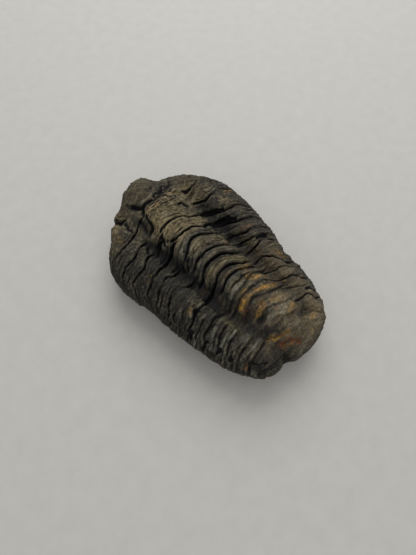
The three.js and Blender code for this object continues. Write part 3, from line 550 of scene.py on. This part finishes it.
OCHRE_STROKES = [
    # Middle lobe and tail
    (1.1, 0.65, (-14, -15.4), (-11, -14.9), (-8, -14.6)),
    (0.7, 0.4, (-8, -14.5), (0, -14.4)),
    (0.8, 0.5, (0, -14.8), (6, -15.5), (11, -16), (17, -16)),
    (0.7, 0.4, (20, -16.3), (27, -16.9)),
    (0.9, 0.55, (2, -11.3), (5, -11.5)),
    (0.55, 0.5, (5, -12.5), (16, -12.9)),
    (0.5, 0.5, (1, -8.4), (9, -9)),
    (0.45, 0.4, (-16, -13.2), (-3, -13)),
    (1.2, 0.6, (-3.4, -17.8), (-4.6, -18.6)),
    (0.7, 0.5, (-5.5, -18.8), (-12, -19)),
    (0.6, 0.5, (2, -18.8), (5, -19.2)),
    (0.9, 0.45, (-3, -25.9), (-9, -25.2), (-15, -24.8)),
    (0.8, 0.5, (-16, -27.7), (-9, -28.1)),
    (0.6, 0.5, (-15, -24.4), (-20, -24.2)),
    (0.6, 0.6, (6, -22.7), (12, -22.5)),
    (0.6, 0.5, (26, -27.3), (34, -26.8)),
    (0.5, 0.5, (18, -29.2), (21, -28.8)),
    # Scattered spots
    (0.5, 0.5, (-43, -7.5), (-47, -7.8)),
    (1.0, 0.45, (-22, -6.2), (-24, -6.3)),
    (0.5, 0.35, (-43, 5.1)),
    (0.4, 0.3, (-51, 4.9)),
    (0.75, 0.4, (42, -10.5), (50, -11.4), (58, -12.5)),
    (0.22, 0.8, (46, 10.6), (62, 10.4)),
    (0.2, 0.5, (-44, 16.8), (-48, 18.8)),
    (0.8, 0.4, (-6, 18.6), (-3, 18.1)),
    (0.6, 0.35, (-11, 18.3), (-8, 18.8)),
    (0.5, 0.35, (8, 18.3), (12, 18.2)),
]
RUST_STROKES = [
    (1.2, 0.6, (-17, -26.7), (-8, -27.1), (-4, -27.8)),
    (1.3, 0.6, (-4, -27.8), (-2, -28.8)),
    (0.9, 0.3, (-2.8, -17.4), (-3, -18.6)),
    (0.8, 0.6, (-13, -17), (-20, -17.4)),
    (0.5, 0.3, (0, -20.6), (8, -20.6)),
    (0.8, 0.4, (-60, -24.6), (-70, -25.2)),
    (1.0, 0.4, (-80, -28.9), (-90, -29.2)),
    (0.3, 0.3, (9, -0.5), (15, -1.3)),
    (0.35, 0.6, (27, -0.6), (36, -1.4)),
    (0.3, 0.4, (5, 19.2), (10, 18.6)),
]

# Each mask's strokes, and how far noise pushes their edges about
STROKES = {
    "dark": (0.9, SHADE_AND_DARK_STROKES),
    "cream": (0.5, CREAM_AND_HIGHLIGHT_STROKES),
    "grey": (0.4, GREY_AND_HIGHLIGHT_STROKES),
    "olive": (0.5, OLIVE_STROKES),
    "brown": (0.6, BROWN_STROKES),
    "ochre": (0.5, OCHRE_STROKES),
    "rust": (0.5, RUST_STROKES),
}

# The masks: how far each way the relief is averaged, in (rings, places round them), and how much
# each form counts. The masks paint shade into cracks and hollows, and paint highlights and shade
# onto raised parts and small flecks.
BROAD_WINDOW = (24, 8)
NEAR_WINDOW = (4, 1)
# Painted shade: how strongly cracks, fine cracks and hollows below their surroundings are darkened
CRACK_SHADE = 1.1
FINE_CRACK_SHADE = 0.55
HOLLOW_SHADE = 0.2
FURROW_SHADE = 0.5
VALLEY_SHADE = 0.35
# Painted highlight and shade: how strongly raised parts and small flecks are lightened and the parts
# below them darkened
CREST_SHADING_GAIN = 0.9
FLECK_SHADING_GAIN = 3.0
STRATA_GAIN = 1.2
MIDDLE = 0.5

# The mesh: rings trail back from the crest as the ribs do.
TRAIL = [
    (-100, 8.5), (-60, 5), (-20, 2.6), (-3, 0), (6, 2.1), (14, 2.4), (22, 4.2), (36, 6.2),
    (60, 7.6), (100, 11),
]
TRAIL_SHARE = [(-31.6, 0), (-24, 0.45), (-16, 0.55), (-6, 0.8), (5, 1), (16, 0.9), (31.6, 0)]
RINGS_PER_HALF = 240
RING_CROWDING = 1.12
UPPER_STEPS = 172
LOWER_STEPS = 34
UPPER_REACH = 100.0

# The turns and the stretch that spread the lattice noise
LATTICE_TURNS = np.array([127.1, 311.7, 74.7])
SEED_TURN = 53.3
LATTICE_STRETCH = 43758.5453

# Colours of the stone, the grey of the painted shade and dark strokes, and the black of the painted
# shade in cracks and hollows
CHARCOAL = (0.010, 0.0107, 0.0112)
OLIVE_GREY = (0.050, 0.0455, 0.033)
SHADOW_GREY = (0.008, 0.009, 0.011)
CAVITY_SHADE_BLACK = (0.003, 0.0034, 0.0045)

# Noise in the stone: scale per metre, detail and roughness
STONE_NOISE = {
    "broad": (160, 4, 0.55),
    "mottle": (620, 6, 0.65),
    "specks": (2600, 4, 0.7),
    "blotches": (360, 3, 0.6),
    "grains": (1500, 3, 0.6),
}

# Ranges of the masks and noises that colour the stone: from, to, and what they become where that
# isn't 0 and 1. None takes a mask as it is.
TONE = {
    "broad": (0.35, 0.65, 0, 0.5),
    "strata": (0.25, 0.75, 0, 0.5),
    "mottle": (0.35, 0.65, -0.15, 0.35),
}
# Painted highlight and shade from the crest and fleck masks, which follow the relief, and random specks
SHADE = {
    "crest": (0.15, 0.85, 0.86, 1.1),
    "fleck": (0.1, 0.9, 0.4, 1.7),
    "specks": (0.3, 0.7, 0.45, 1.55),
}
DARK_RANGE = (0.05, 0.95, 0.0, 0.85)
# The span of the cavity mask over which the painted black shade in cracks and hollows comes in
CAVITY_SHADE_RANGE = (0.25, 0.6)

# Coats of colour in the order in which they are laid on: colour, the most of it, and the masks
# and noises whose product lets it through.
COATS = [
    ((0.158, 0.125, 0.066), 1.0, {"tan": None, "mottle": (0.30, 0.55)}),
    ((0.150, 0.117, 0.068), 0.85, {"tail": None, "broad": (0.2, 0.5)}),
    ((0.070, 0.066, 0.056), 0.6, {"tail": None, "broad": (0.2, 0.5), "blotches": (0.50, 0.62)}),
    # A pale coat on the raised flecks, where the mottle lets it through: a painted highlight
    ((0.180, 0.168, 0.130), 0.4, {"fleck": (0.5, 0.9), "mottle": (0.45, 0.7)}),
    ((0.095, 0.078, 0.045), 0.5, {"grains": (0.53, 0.66)}),
    # Cream stone, and painted highlights along the ribs and on the tail's lower end
    ((0.200, 0.176, 0.125), 0.75, {"cream": None, "mottle": (0.40, 0.60)}),
    ((0.100, 0.085, 0.034), 0.8, {"olive": None, "mottle": (0.35, 0.60)}),
    ((0.050, 0.028, 0.015), 0.8, {"brown": None, "mottle": (0.60, 0.40)}),
    # Grey stone, and painted highlights along the ribs
    ((0.150, 0.150, 0.124), 0.8, {"grey": None, "mottle": (0.30, 0.55)}),
    ((0.315, 0.170, 0.030), 1.0, {"ochre": None, "mottle": (0.35, 0.55)}),
    ((0.150, 0.048, 0.016), 1.0, {"rust": None, "mottle": (0.35, 0.55)}),
]

ROUGHNESS_RANGE = (0.3, 0.7, 0.62, 0.86)
TAIL_POLISH = 0.1
STONE_SPECULAR = 0.18
BUMP_MOTTLE = 0.6
BUMP_SPECKS = 0.4
BUMP_STRENGTH = 0.8
BUMP_HEIGHT = 0.0004

# The mix node's factor, colours and result, by number because their names repeat
MIX_INPUTS = (0, 6, 7)
MIX_RESULT = 2


def smooth(points, at):
    """A smooth curve through the given points, level beyond its two ends."""
    xs = np.array([p[0] for p in points], float)
    ys = np.array([p[1] for p in points], float)
    at = np.clip(at, xs[0], xs[-1])
    i = np.clip(np.searchsorted(xs, at, side="right") - 1, 0, len(xs) - 2)
    span = xs[i + 1] - xs[i]
    slopes = np.diff(ys) / np.diff(xs)
    ends = np.concatenate([slopes[:1], (ys[2:] - ys[:-2]) / (xs[2:] - xs[:-2]), slopes[-1:]])
    t = (at - xs[i]) / span
    rise = t * t * (3 - 2 * t)
    bend = span * t * (1 - t) * ((1 - t) * ends[i] - t * ends[i + 1])
    return ys[i] + (ys[i + 1] - ys[i]) * rise + bend


def bell(distance, reach):
    return np.exp(-((distance / reach) ** 2))


def step_up(x, start, full):
    """0 at the start and before it, 1 from full on, and a smooth rise between them."""
    t = np.clip((x - start) / (full - start), 0, 1)
    return t * t * (3 - 2 * t)


def between(at, start, end):
    """1 between two places along the body, with a smooth rise from 0 over each of the two spans."""
    return step_up(at, *start) * (1 - step_up(at, *end))


def fullness(along):
    inside = 1 - np.abs(along / HALF_LENGTH) ** END_POWER
    return np.clip(inside, 0, None) ** (1 / END_ROUNDING)


def body_points(along, angle):
    """The smooth body with its two lengthwise furrows, before any groove or lump."""
    turn = np.radians(angle)
    side = np.sin(turn)
    up = np.cos(turn)
    full = fullness(along)
    reach = np.where(side < 0, smooth(LEFT_WIDTHS, along), smooth(RIGHT_WIDTHS, along)) * full
    x = np.sign(side) * np.abs(side) ** (2 / AROUND_POWER) * reach
    drop = np.minimum(1, FOOT_FLATNESS * np.abs(up) ** (2 / FOOT_POWER))
    level = np.minimum(1, FOOT_FLATNESS * full)
    under = WIDEST_HEIGHT * (1 - drop * level)
    furrows = bell(x - smooth(LEFT_FURROW, along), FURROW_SPREAD)
    furrows = furrows + bell(x - smooth(RIGHT_FURROW, along), FURROW_SPREAD)
    over = WIDEST_HEIGHT + np.abs(up) ** (2 / AROUND_POWER) * smooth(RISES, along) * full
    over = over - smooth(FURROW_DEPTHS, along) * furrows * up * full
    return np.stack([x, along + 0 * x, np.where(up > 0, over, under)], -1)


def body_point(angle, place):
    return body_points(np.array(float(place)), np.array(float(angle)))


def outward(along, angle):
    """The outward direction of the smooth body."""
    turn = 0.5
    step = 0.05
    shortest = 1e-9
    across = body_points(along, angle + turn) - body_points(along, angle - turn)
    ahead = body_points(np.minimum(along + step, HALF_LENGTH), angle)
    ahead = ahead - body_points(np.maximum(along - step, -HALF_LENGTH), angle)
    normal = np.cross(across, ahead)
    return normal / np.maximum(np.linalg.norm(normal, axis=-1, keepdims=True), shortest)


def trail_at(along, angle):
    """How far back a rib lies at an angle, against its place on the crest."""
    return smooth(TRAIL, angle) * smooth(TRAIL_SHARE, along)


def trailed(place, angle):
    """Where a ring that starts at a place on the crest crosses the given angle."""
    under = np.clip((np.abs(angle) - UPPER_REACH) / (180 - UPPER_REACH), 0, 1)
    keel = (TRAIL[0][1] + TRAIL[-1][1]) / 2
    trail = smooth(TRAIL, angle) * (1 - under) + keel * under
    return place - trail * smooth(TRAIL_SHARE, place)


def fossil_grid():
    """Places and angles of the mesh's rings, as two grids."""
    i = np.arange(1 - RINGS_PER_HALF, RINGS_PER_HALF)
    places = np.sign(i) * (1 - (1 - np.abs(i) / RINGS_PER_HALF) ** RING_CROWDING) * HALF_LENGTH
    upper = -UPPER_REACH + 2 * UPPER_REACH * np.arange(UPPER_STEPS) / UPPER_STEPS
    lower = UPPER_REACH + (360 - 2 * UPPER_REACH) * np.arange(LOWER_STEPS) / LOWER_STEPS
    angles = np.concatenate([upper, np.where(lower > 180, lower - 360, lower)])
    place, angle = np.meshgrid(places, angles, indexing="ij")
    return trailed(place, angle), angle


def corner_value(corner, seed):
    """An even spread of values from -1 to 1 over the corners of a lattice."""
    mixed = np.sin(corner @ LATTICE_TURNS + seed * SEED_TURN) * LATTICE_STRETCH
    return 2 * (mixed - np.floor(mixed)) - 1


def lattice_noise(points, size, seed):
    """Smooth noise from -1 to 1 that changes over about the given size in millimetres."""
    cell = np.floor(points / size)
    t = points / size - cell
    t = t * t * (3 - 2 * t)
    total = 0
    for corner in np.ndindex(2, 2, 2):
        weight = np.prod(np.where(corner, t, 1 - t), axis=-1)
        total = total + weight * corner_value(cell + corner, seed)
    return total


def noise_sum(points, layers):
    return sum(strength * lattice_noise(points, size, seed) for strength, size, seed in layers)


def patch_strength(patches, along, angle):
    """How strongly each point is covered by patches."""
    total = np.zeros_like(along)
    for at, place, turn, reach, strength in patches:
        total += strength * bell((angle - at) / turn, 1) * bell((along - place) / reach, 1)
    return np.clip(total, 0, PATCH_LIMIT)


def stroke_strength(strokes, points):
    """How strongly each point is covered by strokes along their lines on the body."""
    total = np.zeros(points.shape[:-1])
    for strength, reach, *line in strokes:
        corners = [body_point(at, place) for at, place in line]
        nearest = np.linalg.norm(points - corners[0], axis=-1)
        for start, end in zip(corners, corners[1:]):
            run = end - start
            share = np.clip((points - start) @ run / (run @ run), 0, 1)
            gap = np.linalg.norm(points - start - share[..., None] * run, axis=-1)
            nearest = np.minimum(nearest, gap)
        total = np.maximum(total, strength * bell(nearest, reach))
    return total


def furrow_cut(base, along, angle):
    """How deep in the cut of either furrow each point lies, on the upper side only."""
    left = bell(base[..., 0] - smooth(LEFT_FURROW, along), CUT_REACH)
    right = bell(base[..., 0] - smooth(RIGHT_FURROW, along), CUT_REACH) * RIGHT_CUT_SHARE
    return (left + right) * between(along, CUT_TAIL, CUT_HEAD) * (np.abs(angle) < CUT_ANGLE)


def body_zones(base, along, angle):
    """How far inside each zone of the body each point lies, from 0 to 1."""
    measures = {"along": along, "angle": angle, "both": np.abs(angle)}
    zones = {}
    for name, spans in ZONES.items():
        zones[name] = math.prod(step_up(measures[key], *span) for key, span in spans.items())
    zones["rear_right"] = zones["rear_end"] * (1 - zones["rear_left"])
    zones["plates"] = np.maximum(zones["side_plates"], FRONT_PLATE_SHARE * zones["front_plates"])
    zones["band"] = bell(angle / BAND_ANGLE, 1) * bell((along - BAND_PLACE) / BAND_REACH, 1)
    zones["tail"] = np.clip(patch_strength(TAIL_PATCHES, along, angle), 0, 1)
    zones["furrows"] = furrow_cut(base, along, angle)
    return zones


def kept(form, zones):
    """The share of a form that the zones leave."""
    return math.prod(1 - loss * zones[zone] for zone, loss in LOSSES[form].items())


def groove_relief(along, angle, wobble):
    """Valleys, raised lips, cracks, hairlines, and the distance to the nearest groove."""
    valley, lip, crack, hairline = np.zeros((4, *along.shape))
    nearest = np.full_like(along, np.inf)
    crack_reach = CRACK_REACH - SIDE_NARROWING * step_up(np.abs(angle), *NARROW_ANGLES)
    for crack_depth, valley_depth, reach, *points in GROOVES:
        past = np.maximum(np.maximum(points[0][0] - angle, angle - points[-1][0]), 0) / GROOVE_FADE
        ahead = along + wobble - smooth(points, angle)
        fade = bell(past, 1)
        beside = bell(ahead - HAIRLINE_LEAD, HAIRLINE_REACH)
        valley = np.maximum(valley, valley_depth * bell(ahead + VALLEY_LAG, reach) * fade)
        lip = np.maximum(lip, valley_depth * bell(ahead - LIP_LEAD, LIP_REACH) * fade)
        crack = np.maximum(crack, crack_depth * bell(ahead, crack_reach) * fade)
        hairline = np.maximum(hairline, crack_depth * beside * fade)
        if valley_depth > RIB_VALLEY:
            nearest = np.minimum(nearest, np.abs(ahead) + past * RIB_SHOULDER)
    return valley, lip, crack, hairline, nearest


def all_cracks(crack, base, ragged, zones):
    """The grooves' cracks, steady on the middle lobe and broken beside it, and the short ones."""
    lobes = zones["lobes"] * kept("breaks", zones)
    steady = np.clip(1 + noise_sum(base, STEADY), *STEADY_LIMITS)
    broken = np.clip(BROKEN_MEAN + noise_sum(base, BROKEN), *BROKEN_LIMITS)
    crack = crack * (steady * (1 - lobes) + broken * lobes) * kept("cracks", zones)
    return np.maximum(crack, stroke_strength(SHORT_CRACKS, base + CRACK_RAGGEDNESS * ragged))


def rib_relief(valley, lip, nearest, zones):
    """Ribs that swell between the grooves, each with a valley and a raised lip at its edge."""
    swell = RIB_SWELL * (1 - bell(nearest, RIB_SHOULDER)) * kept("swell", zones)
    lips = LIP_SHARE * lip * kept("lips", zones)
    return swell + lips - VALLEY_SHARE * valley * kept("valleys", zones)


def rim_relief(along, angle):
    """The rim runs along the side lobes and dies out at the head and the tail."""
    side = np.abs(angle)
    rim = RIM_RISE * bell(side - RIM_ANGLE, RIM_REACH)
    rim = rim - RIM_LINE_DEPTH * bell(side - RIM_LINE_ANGLE, RIM_LINE_REACH)
    return rim * between(along, RIM_TAIL, RIM_HEAD)


def lump_relief(base):
    lumps = np.zeros(base.shape[:-1])
    for at, place, reach, rise in LUMPS:
        lumps += rise * bell(np.linalg.norm(base - body_point(at, place), axis=-1), reach)
    return lumps


def layer_points(along, angle):
    """Points in which noise comes out as thin layers that follow the ribs."""
    girth = np.radians(angle) * GIRTH_RADIUS
    return np.stack([girth / LAYER_STRETCH, along + trail_at(along, angle), 0 * girth], -1)


def fine_cracks(base, layers, hairline, zones):
    """Splits between the layers, veins on the head, and hairlines beside the grooves."""
    splits = bell(noise_sum(layers, SPLITS), SPLIT_REACH) * kept("splits", zones)
    splits *= step_up(noise_sum(base, SPLIT_FIELD), *SPLIT_COVER)
    veins = bell(noise_sum(base, VEINS), VEIN_REACH) * zones["head"] * kept("veins", zones)
    veins *= step_up(noise_sum(base, VEIN_FIELD), *VEIN_COVER)
    traced = np.maximum(step_up(noise_sum(base, TRACE_FIELD), *TRACE_COVER), zones["rear_left"])
    hairline = HAIRLINE_SHARE * hairline * traced * kept("hairlines", zones)
    return np.maximum(np.maximum(splits, veins), hairline) * zones["over"]


def terraces(height, step):
    """Flattens a height into steps, as where thin layers of stone have flaked off."""
    level = np.floor(height / step)
    return (level + step_up(height / step - level, STEP_FLAT, 1)) * step


def stone_texture(base, layers, strata, zones):
    """Steps and fibres along the layers, flaked plates, grit, and a worn underside."""
    relief = terraces(strata, STRATA_STEP) * kept("steps", zones)
    relief += noise_sum(layers, FIBRES) * kept("fibres", zones)
    relief *= zones["over"]
    flaked = sum(share * zones[zone] for zone, share in FLAKE_SHARES.items())
    flakes = terraces(noise_sum(base, FLAKES), FLAKE_STEP)
    relief += flakes * flaked * kept("flakes", zones)
    relief += noise_sum(base, GRIT) * kept("grit", zones)
    return relief + (1 - zones["over"]) * noise_sum(base, UNDERSIDE)


def blurred(grid, ring_reach, side_reach):
    """The grid averaged over a window of rings and a window of places round them."""
    for reach, mode in ((ring_reach, "edge"), (side_reach, "wrap")):
        padded = np.pad(grid, ((reach, reach), (0, 0)), mode=mode)
        sums = np.cumsum(np.vstack([np.zeros((1, grid.shape[1])), padded]), axis=0)
        window = 2 * reach + 1
        grid = ((sums[window:] - sums[:-window]) / window).T
    return grid


def relief_masks(relief, crack, fine, strata, over):
    """Masks of painted shade in cracks and hollows, of painted light and shade on raised parts and
    small flecks, and of layers.
    """
    broad = blurred(relief, *BROAD_WINDOW)
    near = blurred(relief, *NEAR_WINDOW)
    painted_shade = CRACK_SHADE * crack + FINE_CRACK_SHADE * fine + HOLLOW_SHADE * (broad - near)
    return {
        "cavity_shade": np.clip(painted_shade, 0, 1) * over,
        # Painted highlight on raised parts and painted shade below them, broad and fine
        "crest": np.clip(MIDDLE + CREST_SHADING_GAIN * (near - broad), 0, 1),
        "fleck": np.clip(MIDDLE + FLECK_SHADING_GAIN * (relief - near), 0, 1),
        "strata": np.clip(MIDDLE + STRATA_GAIN * strata, 0, 1),
    }


def paint_masks(base, ragged, valley, zones):
    """Masks of the strokes of colour. The dark one also holds the painted shade in the furrows and
    valleys.
    """
    masks = {}
    for name, (raggedness, strokes) in STROKES.items():
        masks[name] = stroke_strength(strokes, base + raggedness * ragged)
    shade = FURROW_SHADE * zones["furrows"] + VALLEY_SHADE * valley
    masks["dark"] = np.clip(shade + masks["dark"], 0, 1)
    return masks


def fossil_surface():
    """Points of the fossil, and the masks that its material reads."""
    along, angle = fossil_grid()
    base = body_points(along, angle)
    zones = body_zones(base, along, angle)
    ragged = np.stack([lattice_noise(base, RAGGED_SIZE, seed) for seed in RAGGED_SEEDS], -1)
    wobble = noise_sum(base, WOBBLE) * kept("wobble", zones)
    wobble += noise_sum(base, FRONT_WOBBLE) * zones["front_left"]
    valley, lip, crack, hairline, nearest = groove_relief(along, angle, wobble)
    crack = all_cracks(crack, base, ragged, zones)
    layers = layer_points(along, angle)
    strata = noise_sum(layers, STRATA) * kept("strata", zones)
    fine = fine_cracks(base, layers, hairline, zones)

    relief = rib_relief(valley, lip, nearest, zones) - crack - FURROW_CUT * zones["furrows"]
    relief = relief * fullness(along) * zones["over"] + lump_relief(base)
    relief += stone_texture(base, layers, strata, zones)
    relief += rim_relief(along, angle) - FINE_DEPTH * fine
    points = base + outward(along, angle) * relief[..., None]

    masks = relief_masks(relief, crack, fine, strata, zones["over"])
    masks |= paint_masks(base, ragged, valley, zones)
    masks["tan"] = patch_strength(TAN_PATCHES, along + wobble, angle)
    masks["tail"] = zones["tail"]
    return points, masks


def fossil_mesh():
    """Rings of points from tail to head, closed by one point at each end."""
    points, masks = fossil_surface()
    rings, count = points.shape[:2]
    pole = np.array([[0.0, -HALF_LENGTH, WIDEST_HEIGHT], [0.0, HALF_LENGTH, WIDEST_HEIGHT]])
    verts = np.concatenate([points.reshape(-1, 3), pole])

    ring = np.arange(rings - 1)[:, None] * count
    here = np.arange(count)[None]
    after = (here + 1) % count
    quads = np.stack([ring + here, ring + after, ring + count + after, ring + count + here], -1)
    tail = len(verts) - 2
    last = (rings - 1) * count
    faces = quads.reshape(-1, 4).tolist()
    faces += [(tail, (i + 1) % count, i) for i in range(count)]
    faces += [(tail + 1, last + i, last + (i + 1) % count) for i in range(count)]

    mesh = bpy.data.meshes.new("trilobite_stone")
    mesh.from_pydata(verts.tolist(), [], faces)
    for name, values in masks.items():
        layer = mesh.attributes.new(name, "FLOAT", "POINT")
        layer.data.foreach_set("value", np.concatenate([values.ravel(), [0.0, 0.0]]))
    mesh.shade_smooth()
    return mesh


def settle_on_node(mesh, node):
    """Turns millimetres into metres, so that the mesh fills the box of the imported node."""
    low, high = (np.array(corner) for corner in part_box(node))
    flat = np.empty(len(mesh.vertices) * 3)
    mesh.vertices.foreach_get("co", flat)
    verts = flat.reshape(-1, 3)
    least = verts.min(axis=0)
    verts = low + (verts - least) * (high - low) / (verts.max(axis=0) - least)
    mesh.vertices.foreach_set("co", verts.ravel())
    mesh.update()


def feed(tree, node, inputs):
    """Gives each named input of a node a number or a colour, or links another socket to it."""
    for name, value in inputs.items():
        if isinstance(value, bpy.types.NodeSocket):
            tree.links.new(value, node.inputs[name])
        elif isinstance(value, tuple):
            node.inputs[name].default_value = (*value, 1)
        else:
            node.inputs[name].default_value = value


def node_with(tree, kind, inputs=(), **settings):
    node = tree.nodes.new(kind)
    for name, value in settings.items():
        setattr(node, name, value)
    feed(tree, node, dict(inputs))
    return node


def mask_socket(tree, name):
    return node_with(tree, "ShaderNodeAttribute", attribute_name=name).outputs["Fac"]


def noise_socket(tree, where, scale, detail, roughness):
    inputs = {"Vector": where, "Scale": scale, "Detail": detail, "Roughness": roughness}
    return node_with(tree, "ShaderNodeTexNoise", inputs).outputs["Fac"]


def maths(tree, operation, a, b, clamp=False):
    settings = {"operation": operation, "use_clamp": clamp}
    return node_with(tree, "ShaderNodeMath", {0: a, 1: b}, **settings).outputs[0]


def remap(tree, value, *limits):
    """Brings a range of values to 0 to 1, or to the third and fourth limits."""
    inputs = dict(zip(("Value", "From Min", "From Max", "To Min", "To Max"), (value, *limits)))
    return node_with(tree, "ShaderNodeMapRange", inputs).outputs["Result"]


def blend(tree, fac, a, b, blend_type="MIX"):
    """Mixes two colours, each a socket or an (r, g, b) value."""
    inputs = dict(zip(MIX_INPUTS, (fac, a, b)))
    node = node_with(tree, "ShaderNodeMix", inputs, data_type="RGBA", blend_type=blend_type)
    return node.outputs[MIX_RESULT]


def combined(tree, operation, noise, ranges, clamp=False):
    """Masks and noises, each brought to its range, then added or multiplied together."""
    total = None
    for name, limits in ranges.items():
        value = noise[name] if name in noise else mask_socket(tree, name)
        if limits:
            value = remap(tree, value, *limits)
        total = value if total is None else maths(tree, operation, total, value, clamp)
    return total


def coated(tree, noise):
    """Grey stone under its coats of colour."""
    stone = blend(tree, combined(tree, "ADD", noise, TONE, clamp=True), CHARCOAL, OLIVE_GREY)
    for colour, cover, ranges in COATS:
        strength = combined(tree, "MULTIPLY", noise, ranges, clamp=True)
        stone = blend(tree, maths(tree, "MULTIPLY", strength, cover), stone, colour)
    return stone


def specks_strokes_and_painted_shade(tree, stone, noise):
    """Painted highlights on crests and flecks with painted shade below them, darker specks, dark
    strokes with painted shade in the furrows and valleys, and painted black shade in cracks.
    """
    stone = blend(tree, 1.0, stone, combined(tree, "MULTIPLY", noise, SHADE), "MULTIPLY")
    # Painted shade in the furrows, valleys and dark strokes, some of which are darker stone
    stone = blend(tree, remap(tree, mask_socket(tree, "dark"), *DARK_RANGE), stone, SHADOW_GREY)
    # Painted black shade in the cracks and hollows
    cavity_shade = remap(tree, mask_socket(tree, "cavity_shade"), *CAVITY_SHADE_RANGE)
    return blend(tree, cavity_shade, stone, CAVITY_SHADE_BLACK)


def stone_bump(tree, noise):
    mottle = maths(tree, "MULTIPLY", noise["mottle"], BUMP_MOTTLE)
    height = maths(tree, "ADD", mottle, maths(tree, "MULTIPLY", noise["specks"], BUMP_SPECKS))
    inputs = {"Height": height, "Strength": BUMP_STRENGTH, "Distance": BUMP_HEIGHT}
    return node_with(tree, "ShaderNodeBump", inputs).outputs["Normal"]


def new_material(name):
    """A material with its node tree, its shader and the place on the object."""
    material = bpy.data.materials.new(name)
    material.use_nodes = True
    tree = material.node_tree
    where = node_with(tree, "ShaderNodeTexCoord").outputs["Object"]
    return material, tree, tree.nodes["Principled BSDF"], where


def stone_material():
    material, tree, shader, where = new_material("fossil_stone")
    noise = {name: noise_socket(tree, where, *values) for name, values in STONE_NOISE.items()}
    polish = maths(tree, "MULTIPLY", mask_socket(tree, "tail"), TAIL_POLISH)
    roughness = remap(tree, noise["mottle"], *ROUGHNESS_RANGE)
    feed(tree, shader, {
        "Base Color": specks_strokes_and_painted_shade(tree, coated(tree, noise), noise),
        "Roughness": maths(tree, "SUBTRACT", roughness, polish),
        "Specular IOR Level": STONE_SPECULAR,
        "Normal": stone_bump(tree, noise),
    })
    return material


def fossil():
    mesh = fossil_mesh()
    settle_on_node(mesh, "trilobite")
    mesh.materials.append(stone_material())
    piece = bpy.data.objects.new("trilobite_fossil", mesh)
    bpy.context.scene.collection.objects.link(piece)
    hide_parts("trilobite")
    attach(piece, "root")


def paper_material():
    material, tree, shader, where = new_material("pale_table")
    fleck = remap(tree, noise_socket(tree, where, *TABLE_NOISE), *TABLE_RANGE)
    colour = blend(tree, fleck, *TABLE_SHADES)
    feed(tree, shader, {"Base Color": colour, "Roughness": TABLE_ROUGHNESS})
    return material


def table_top():
    bpy.ops.mesh.primitive_plane_add(size=TABLE_SIZE, location=(0, 0, 0))
    table = bpy.context.object
    table.name = "table_top"
    table.data.materials.append(paper_material())


def sky():
    world = bpy.data.worlds.new("room")
    world.use_nodes = True
    background = world.node_tree.nodes["Background"]
    background.inputs["Color"].default_value = SKY_COLOUR
    background.inputs["Strength"].default_value = SKY_STRENGTH
    bpy.context.scene.world = world


def placed(name, data, place, facing):
    """A new object at a place, facing in a direction."""
    thing = bpy.data.objects.new(name, data)
    thing.location = place
    thing.rotation_mode = "QUATERNION"
    thing.rotation_quaternion = facing.to_track_quat("-Z", "Y")
    bpy.context.scene.collection.objects.link(thing)
    return thing


def ceiling_lamp():
    data = bpy.data.lights.new("ceiling_lamp", "AREA")
    data.shape = "DISK"
    data.size = LAMP_SIZE
    data.energy = LAMP_POWER
    data.color = LAMP_COLOUR
    placed("ceiling_lamp", data, LAMP_PLACE, -Vector(LAMP_PLACE))


def camera():
    data = bpy.data.cameras.new("phone")
    data.lens = FOCAL_LENGTH
    data.sensor_width = SENSOR_WIDTH
    data.clip_start = NEAREST_SEEN
    data.clip_end = FURTHEST_SEEN
    data.dof.use_dof = False
    azimuth = math.radians(VIEW_AZIMUTH)
    elevation = math.radians(VIEW_ELEVATION)
    back = Vector((
        math.sin(azimuth) * math.cos(elevation),
        -math.cos(azimuth) * math.cos(elevation),
        math.sin(elevation),
    ))
    place = (Vector(VIEW_TARGET) + back * VIEW_DISTANCE) * MM
    bpy.context.scene.camera = placed("phone", data, place, -back)


camera()
sky()
ceiling_lamp()
table_top()
fossil()
bpy.context.scene.view_settings.view_transform = "Standard"
